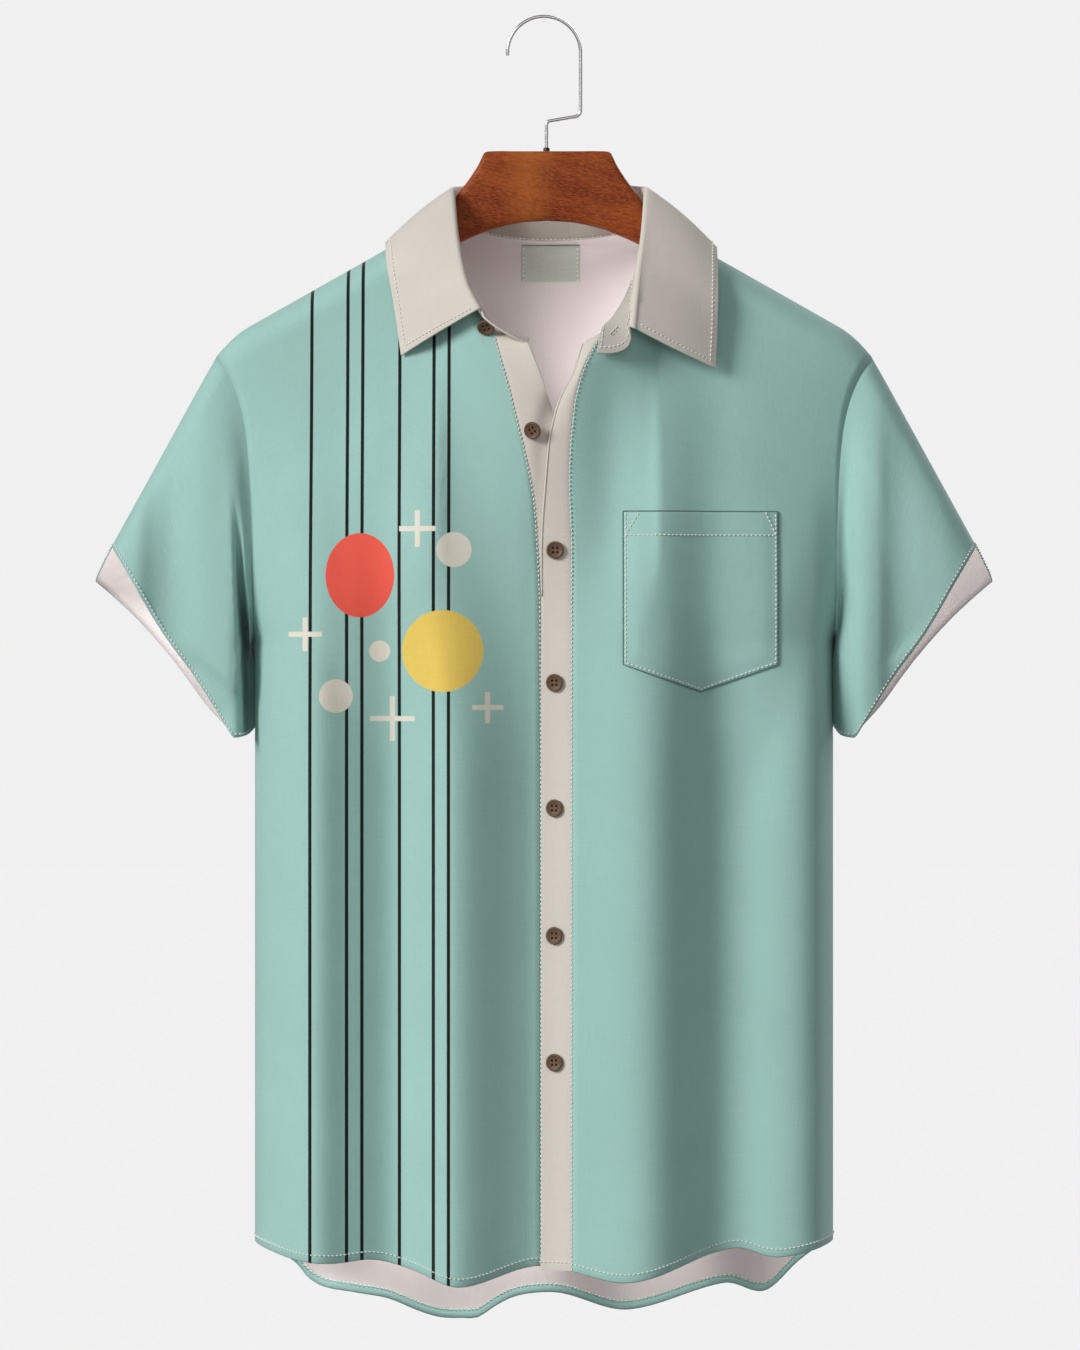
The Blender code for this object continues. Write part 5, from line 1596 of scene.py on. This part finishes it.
ferrule_profile = [(inner, high), (outer - 0.0006, high), (outer - 0.0002, high - 0.0002),
                   (outer, high - 0.0006), (outer, 0.0006), (outer + 0.0002, 0.0), (inner, 0.0)]
ferrule_mesh = to_mesh(spun(ferrule_profile, 32, closed=True), "ferrule", sharp=40)
ferrule_mesh.transform(Matrix.Translation((HOOK_FOOT_X, 0.0, HANGER_TOP_Z + WIRE_SUNK)))
add_piece("wire_ferrule", ferrule_mesh, ["ferrule"], "steel", dark_steel)
print("wire length, mm:", round(1000 * sum(math.dist(a, b) for a, b in zip(points, points[1:]))))

# %% [markdown]
# ## Topstitching
# Lines of stitching hold every folded edge: along the hems, beside the bands, round the
# pocket and inside the collar's edges. Each line is a list of places on a grid.

# %% Hem stitches
HEM_STITCH_ROW = HEM_ROWS * 0.92
hem_back = faced(along_columns(back_grid, HEM_STITCH_ROW), BACKWARD)
hem_inside = [(point - normal * TURN_DEPTH, -normal) for point, normal in hem_back]
for name, lines in (("right", [faced(along_columns(right_grid, HEM_STITCH_ROW), FRONTWARD)]),
                    ("left", [faced(along_columns(left_grid, HEM_STITCH_ROW), FRONTWARD)]),
                    ("back", [hem_back, hem_inside])):
    add_stitches("stitches_hem_" + name, lines, "mint_cloth")

# %% Band and sleeve stitches
BESIDE_BAND, BESIDE_LIFT = 0.0011, 0.0002
SLEEVE_STITCH_SHARE = 0.38            # of the sleeve's last row


def beside(line, shift_x):
    """The same line moved along X and lifted a little off the cloth."""
    return [(point + Vector((shift_x, 0.0, 0.0)) + normal * BESIDE_LIFT, normal)
            for point, normal in line]


def sleeve_hem_line(grid):
    """Line round a sleeve, just above its hem."""
    upper, lowest, count = grid[-2], grid[-1], len(grid[0])
    ring = [upper[index % count].lerp(lowest[index % count], SLEEVE_STITCH_SHARE)
            for index in range(count + 1)]
    centre = sum(ring, Vector()) / len(ring)
    line = []
    for index, point in enumerate(ring):
        around = ring[(index + 1) % count] - ring[index - 1]
        normal = around.cross(lowest[index % count] - upper[index % count])
        normal.normalize()
        out = Vector((0.0, point.y - centre.y, point.z - centre.z))
        line.append((point, normal if normal.dot(out) > 0 else -normal))
    return line


band_line = beside(faced(along_rows(right_grid, 0.0), FRONTWARD), -BESIDE_BAND)
hole_line = beside(faced(along_rows(left_grid, 0.0), FRONTWARD), BESIDE_BAND)
band_foot = faced(along_columns(hole_band_grid, 1.0), FRONTWARD)
add_stitches("stitches_button_band", [band_line])
add_stitches("stitches_buttonhole_band", [hole_line, band_foot])
for side, name in ((-1, "right"), (1, "left")):
    add_stitches("stitches_sleeve_" + name, [sleeve_hem_line(sleeve_grids[side])], "mint_cloth")

# %% Pocket stitches
STITCH_INSET, CORNER_LEFT, CORNER_RIGHT = 0.0014, 0.0095, 0.0070
SHADE_LINE_OUT, SHADE_LINE_LIFT, SHADE_LINE_RADIUS, LINE_STEP = 0.0004, 0.0008, 0.0005, 0.003


def pocket_line(corners, surface=pocket_y):
    """Line through (x, z) corners, on the pocket's face or another surface."""
    line = []
    for (x1, z1), (x2, z2) in zip(corners, corners[1:]):
        steps = max(2, int(math.hypot(x2 - x1, z2 - z1) / LINE_STEP))
        for step in range(steps + 1):
            x, z = lerp(x1, x2, step / steps), lerp(z1, z2, step / steps)
            line.append((Vector((x, surface(x, z), z)), surface_normal(surface, x, z)))
    return line


left, right = POCKET_LEFT + STITCH_INSET, POCKET_RIGHT - STITCH_INSET
top, foot, hem_low = POCKET_TOP - 0.0008, POCKET_SIDE + STITCH_INSET, POCKET_TOP - POCKET_HEM
middle_x = (POCKET_LEFT + POCKET_RIGHT) / 2
add_stitches("stitches_pocket", [pocket_line(corners) for corners in (
    [(left, top), (left, foot), (middle_x, POCKET_POINT + 0.0016), (right, foot), (right, top)],
    [(left, hem_low), (right, hem_low)],
    [(left, hem_low), (left + CORNER_LEFT, top)],
    [(right, hem_low), (right - CORNER_RIGHT, top)])], "mint_cloth")
# A dark mint cord all round the pocket is painted shade along its edges
left, right, top = (POCKET_LEFT - SHADE_LINE_OUT, POCKET_RIGHT + SHADE_LINE_OUT,
                    POCKET_TOP + SHADE_LINE_OUT)
pocket_shade_line = pocket_line([(left, top), (right, top), (right, POCKET_SIDE),
                           (middle_x, POCKET_POINT - SHADE_LINE_OUT), (left, POCKET_SIDE),
                           (left, top)], lambda x, z: front_y(x, z) - SHADE_LINE_LIFT)
pocket_shade_line = [place for index, place in enumerate(pocket_shade_line)
               if index == 0 or (place[0] - pocket_shade_line[index - 1][0]).length > 1e-6]
add_cord("pocket_painted_shade_line", pocket_shade_line, SHADE_LINE_RADIUS, "mint_cloth", shade_line_finish)

# %% The rolled edge of the upper band
FOLD_LINE_FROM, FOLD_LINE_COLUMN, FOLD_LINE_RADIUS = -0.420, 7.75, 0.0008
fold_rows = [row for row, line in enumerate(hole_band_grid) if line[-1].z > FOLD_LINE_FROM]
fold_line = grid_line(hole_band_grid, [(row, FOLD_LINE_COLUMN) for row in fold_rows[:-1]])
add_cord("rolled_edge_of_band", faced(fold_line, FRONTWARD), FOLD_LINE_RADIUS, "cream_cloth",
         cream_cloth)

# %% Collar stitches
EDGE_COLUMN = len(leaf_grid[0]) - 1
STITCH_IN = 0.0050
DOWN_THE_POINT = (7.5, 9.0, 11.0, 13.0, 15.0, 17.0)


def leaf_column(row, inset=STITCH_IN):
    """Column of the leaf's grid that lies an inset in from its outer edge."""
    line = leaf_grid[min(int(round(row)), len(leaf_grid) - 1)]
    column = EDGE_COLUMN
    while column > 8 and inset > 0.0:
        step = (line[column] - line[column - 1]).length
        if step > inset:
            return column - inset / step
        inset, column = inset - step, column - 1
    return column


last_row = len(leaf_grid) - 1
row_in = STITCH_IN / (leaf_grid[1][EDGE_COLUMN] - leaf_grid[0][EDGE_COLUMN]).length
places = [(row_in, column) for column in (*DOWN_THE_POINT, leaf_column(row_in))]
places += [(row, leaf_column(row)) for row in range(2, last_row - 1)]
places += [(last_row - row_in, column)
           for column in (leaf_column(last_row - row_in), *DOWN_THE_POINT[::-1])]
middle = Vector((NECK_X, 0.0, -0.24))
leaf_line = [(point, normal if normal.dot(point - middle) > 0 else -normal)
             for point, normal in grid_line(leaf_grid, places)]
add_stitches("stitches_collar_leaf", [lifted(leaf_line, DOUBLED)])

# %% Stand, tab and label stitches
STAND_STEPS, HEAD_COLUMN, TAB_INSET, SEAM_COLUMN = 5, 8, 0.9, 0.35
first_tab = STAND_STEPS * (len(STAND_RIGHT_END) + len(COLLAR) - 2)
last_tab = len(stand_grid) - 1
tab_places = [(row, HEAD_COLUMN - TAB_INSET) for row in range(first_tab, last_tab)]
tab_places += [(last_tab - 1.4, column) for column in (6.5, 5.0, 3.5, 2.0, 0.6)]
seam_places = [(row, SEAM_COLUMN) for row in range(int(0.34 * last_tab), int(0.66 * last_tab))]
add_stitches("stitches_collar_stand",
             [lifted(faced(grid_line(stand_grid, places), FRONTWARD), DOUBLED)
              for places in (tab_places, seam_places)])
label_sides = [faced(along_rows(label_grid, column, 0.4, 11.6), FRONTWARD)
               for column in (0.7, 19.3)]

# %% Buttonhole in the tab
HOLE_LENGTH, BAR_APART, HOLE_LIFT = 0.0080, 0.0009, 0.0001
hole_point, hole_normal = faced(grid_line(stand_grid, [(last_tab - 9.0, 4.6)]), FRONTWARD)[0]
hole_way = Vector((0.55, 0.0, 0.83))
hole_way = (hole_way - hole_normal * hole_way.dot(hole_normal)).normalized()
hole_side = hole_normal.cross(hole_way)
hole_bars = []
for offset in (-BAR_APART, 0.0, BAR_APART):
    middle = hole_point + hole_normal * (DOUBLED + HOLE_LIFT) + hole_side * offset
    hole_bars.append([(middle + hole_way * (share * HOLE_LENGTH), hole_normal)
                      for share in (-0.5, -0.25, 0.0, 0.25, 0.5)])
add_stitches("buttonhole_edges", [hole_bars[0], hole_bars[2]])
# The slit is a line of dark stitches, painted shade in the buttonhole's cut.
add_stitches("buttonhole_slit_shade", [hole_bars[1]], finish=shaded_slit)
add_stitches("stitches_label", label_sides, "label_weave")

# %% [markdown]
# ## What each sheet was cut to
# Cloth keeps its area when it hangs. The flat cut of each piece is measured along its own
# grid.

declare(back_grid)
declare(right_grid)
declare(left_grid)
declare(sleeve_grids[-1], closed=True)
declare(sleeve_grids[1], closed=True)
declare(band_grid)
declare(hole_band_grid)
declare(stand_grid)
declare(leaf_grid)
declare(pocket_grid)
declare(label_grid)

# %% [markdown]
# ## Floor, light and camera
# A pale room with one broad soft light from the front left shows the folds: the side of
# each fold that turns away goes darker. The room's own light fills the shadows. The
# camera looks level from six metres with a long lens, as catalogue pictures do.

# %% Floor and world
FLOOR_Z = -1.75
ROOM, AMBIENT = srgb(240, 240, 240)[0], 0.25   # as seen by the camera, as light on the shirt
floor_mesh = to_mesh(spun([(0.0, 0.0), (8.0, 0.0), (50.0, 0.0)], 96), "floor")
floor = link("floor", floor_mesh)
floor.location.z = FLOOR_Z
floor_paint, tree, shader = new_material("pale floor", (0.76, 0.76, 0.76, 1.0), 0.9,
                                         Specular_IOR_Level=0.0, Emission_Strength=0.29,
                                         Emission_Color=(1.0, 1.0, 1.0, 1.0))
floor_mesh.materials.append(floor_paint)
floor.visible_diffuse = floor.visible_glossy = False
floor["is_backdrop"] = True

world = bpy.data.worlds.new("pale room")
bpy.context.scene.world = world
world.use_nodes = True
tree = world.node_tree
ambient = tree.nodes["Background"]
ambient.inputs["Color"].default_value = (1.0, 1.0, 1.0, 1.0)
seen = put(tree, "LightPath")
feed(tree, ambient.inputs["Strength"], put(tree, "MapRange", seen, 0.0, 1.0, AMBIENT, ROOM))
bpy.context.scene.view_settings.view_transform = "Standard"
print("room brightness:", round(ROOM, 3))

# %% Lights and camera
AIM = Vector((-0.0029, 0.0, -0.473))
CAMERA_DISTANCE, CAMERA_SENSOR, SEEN_SPAN = 6.0, 36.0, 0.972


def way_to(azimuth, elevation):
    """Direction from the shirt; azimuth 0 is its front, -90 the wearer's right."""
    turn, rise = math.radians(azimuth), math.radians(elevation)
    return Vector((math.sin(turn) * math.cos(rise), -math.cos(turn) * math.cos(rise),
                   math.sin(rise)))


def far_light(name, azimuth, elevation, strength, spread):
    """Broad light from far away, as bright on one side of the shirt as on the other."""
    light = bpy.data.lights.new(name, "SUN")
    light.energy, light.angle = strength, math.radians(spread)
    lamp = link(name, light)
    lamp.rotation_euler = way_to(azimuth, elevation).to_track_quat("Z", "Y").to_euler()
    return lamp


def inner_light(name, place, radius, power, colour=(1.0, 1.0, 1.0), kind="POINT"):
    """Soft lamp inside the shirt, for the light that thin cloth lets through."""
    light = bpy.data.lights.new(name, kind)
    light.energy, light.shadow_soft_size, light.color = power, radius, colour
    lamp = link(name, light)
    lamp.location, lamp.visible_camera = place, False
    return lamp


far_light("key", -52.0, 22.0, 2.55, 24.0)
far_light("fill", 10.0, 12.0, 0.35, 40.0)
far_light("back light", 150.0, 30.0, 1.2, 40.0)
chest_light = inner_light("inside the chest", (0.01, -0.045, -0.345), 0.03, 1.28,
                          (1.0, 0.955, 0.965), "SPOT")
chest_light.data.spot_size, chest_light.data.spot_blend = math.radians(64), 1.0
chest_light.rotation_euler = Vector((-0.062, -0.121, -0.138)).to_track_quat("Z", "Y").to_euler()
inner_light("inside the hem", (-0.05, 0.0, -0.78), 0.05, 0.74)
inner_light("inside the right sleeve", (-0.245, 0.0, -0.40), 0.02, 0.12)
inner_light("inside the left sleeve", (0.245, 0.0, -0.40), 0.02, 0.08)
camera_data = bpy.data.cameras.new("camera")
camera_data.sensor_width = CAMERA_SENSOR
camera_data.lens = CAMERA_SENSOR * CAMERA_DISTANCE / SEEN_SPAN
camera_data.clip_end = 200.0
camera = link("camera", camera_data)
camera.location = AIM + Vector((0.0, -CAMERA_DISTANCE, 0.0))
camera.rotation_euler = (math.pi / 2, 0.0, 0.0)
bpy.context.scene.camera = camera
print("camera at", tuple(round(value, 3) for value in camera.location))

# %% [markdown]
# ## The model's size
# The visual model's box is printed, in millimetres.

# %% Finish
low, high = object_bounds()
print("visual box, mm:", [round(1000 * value) for value in (high - low)])
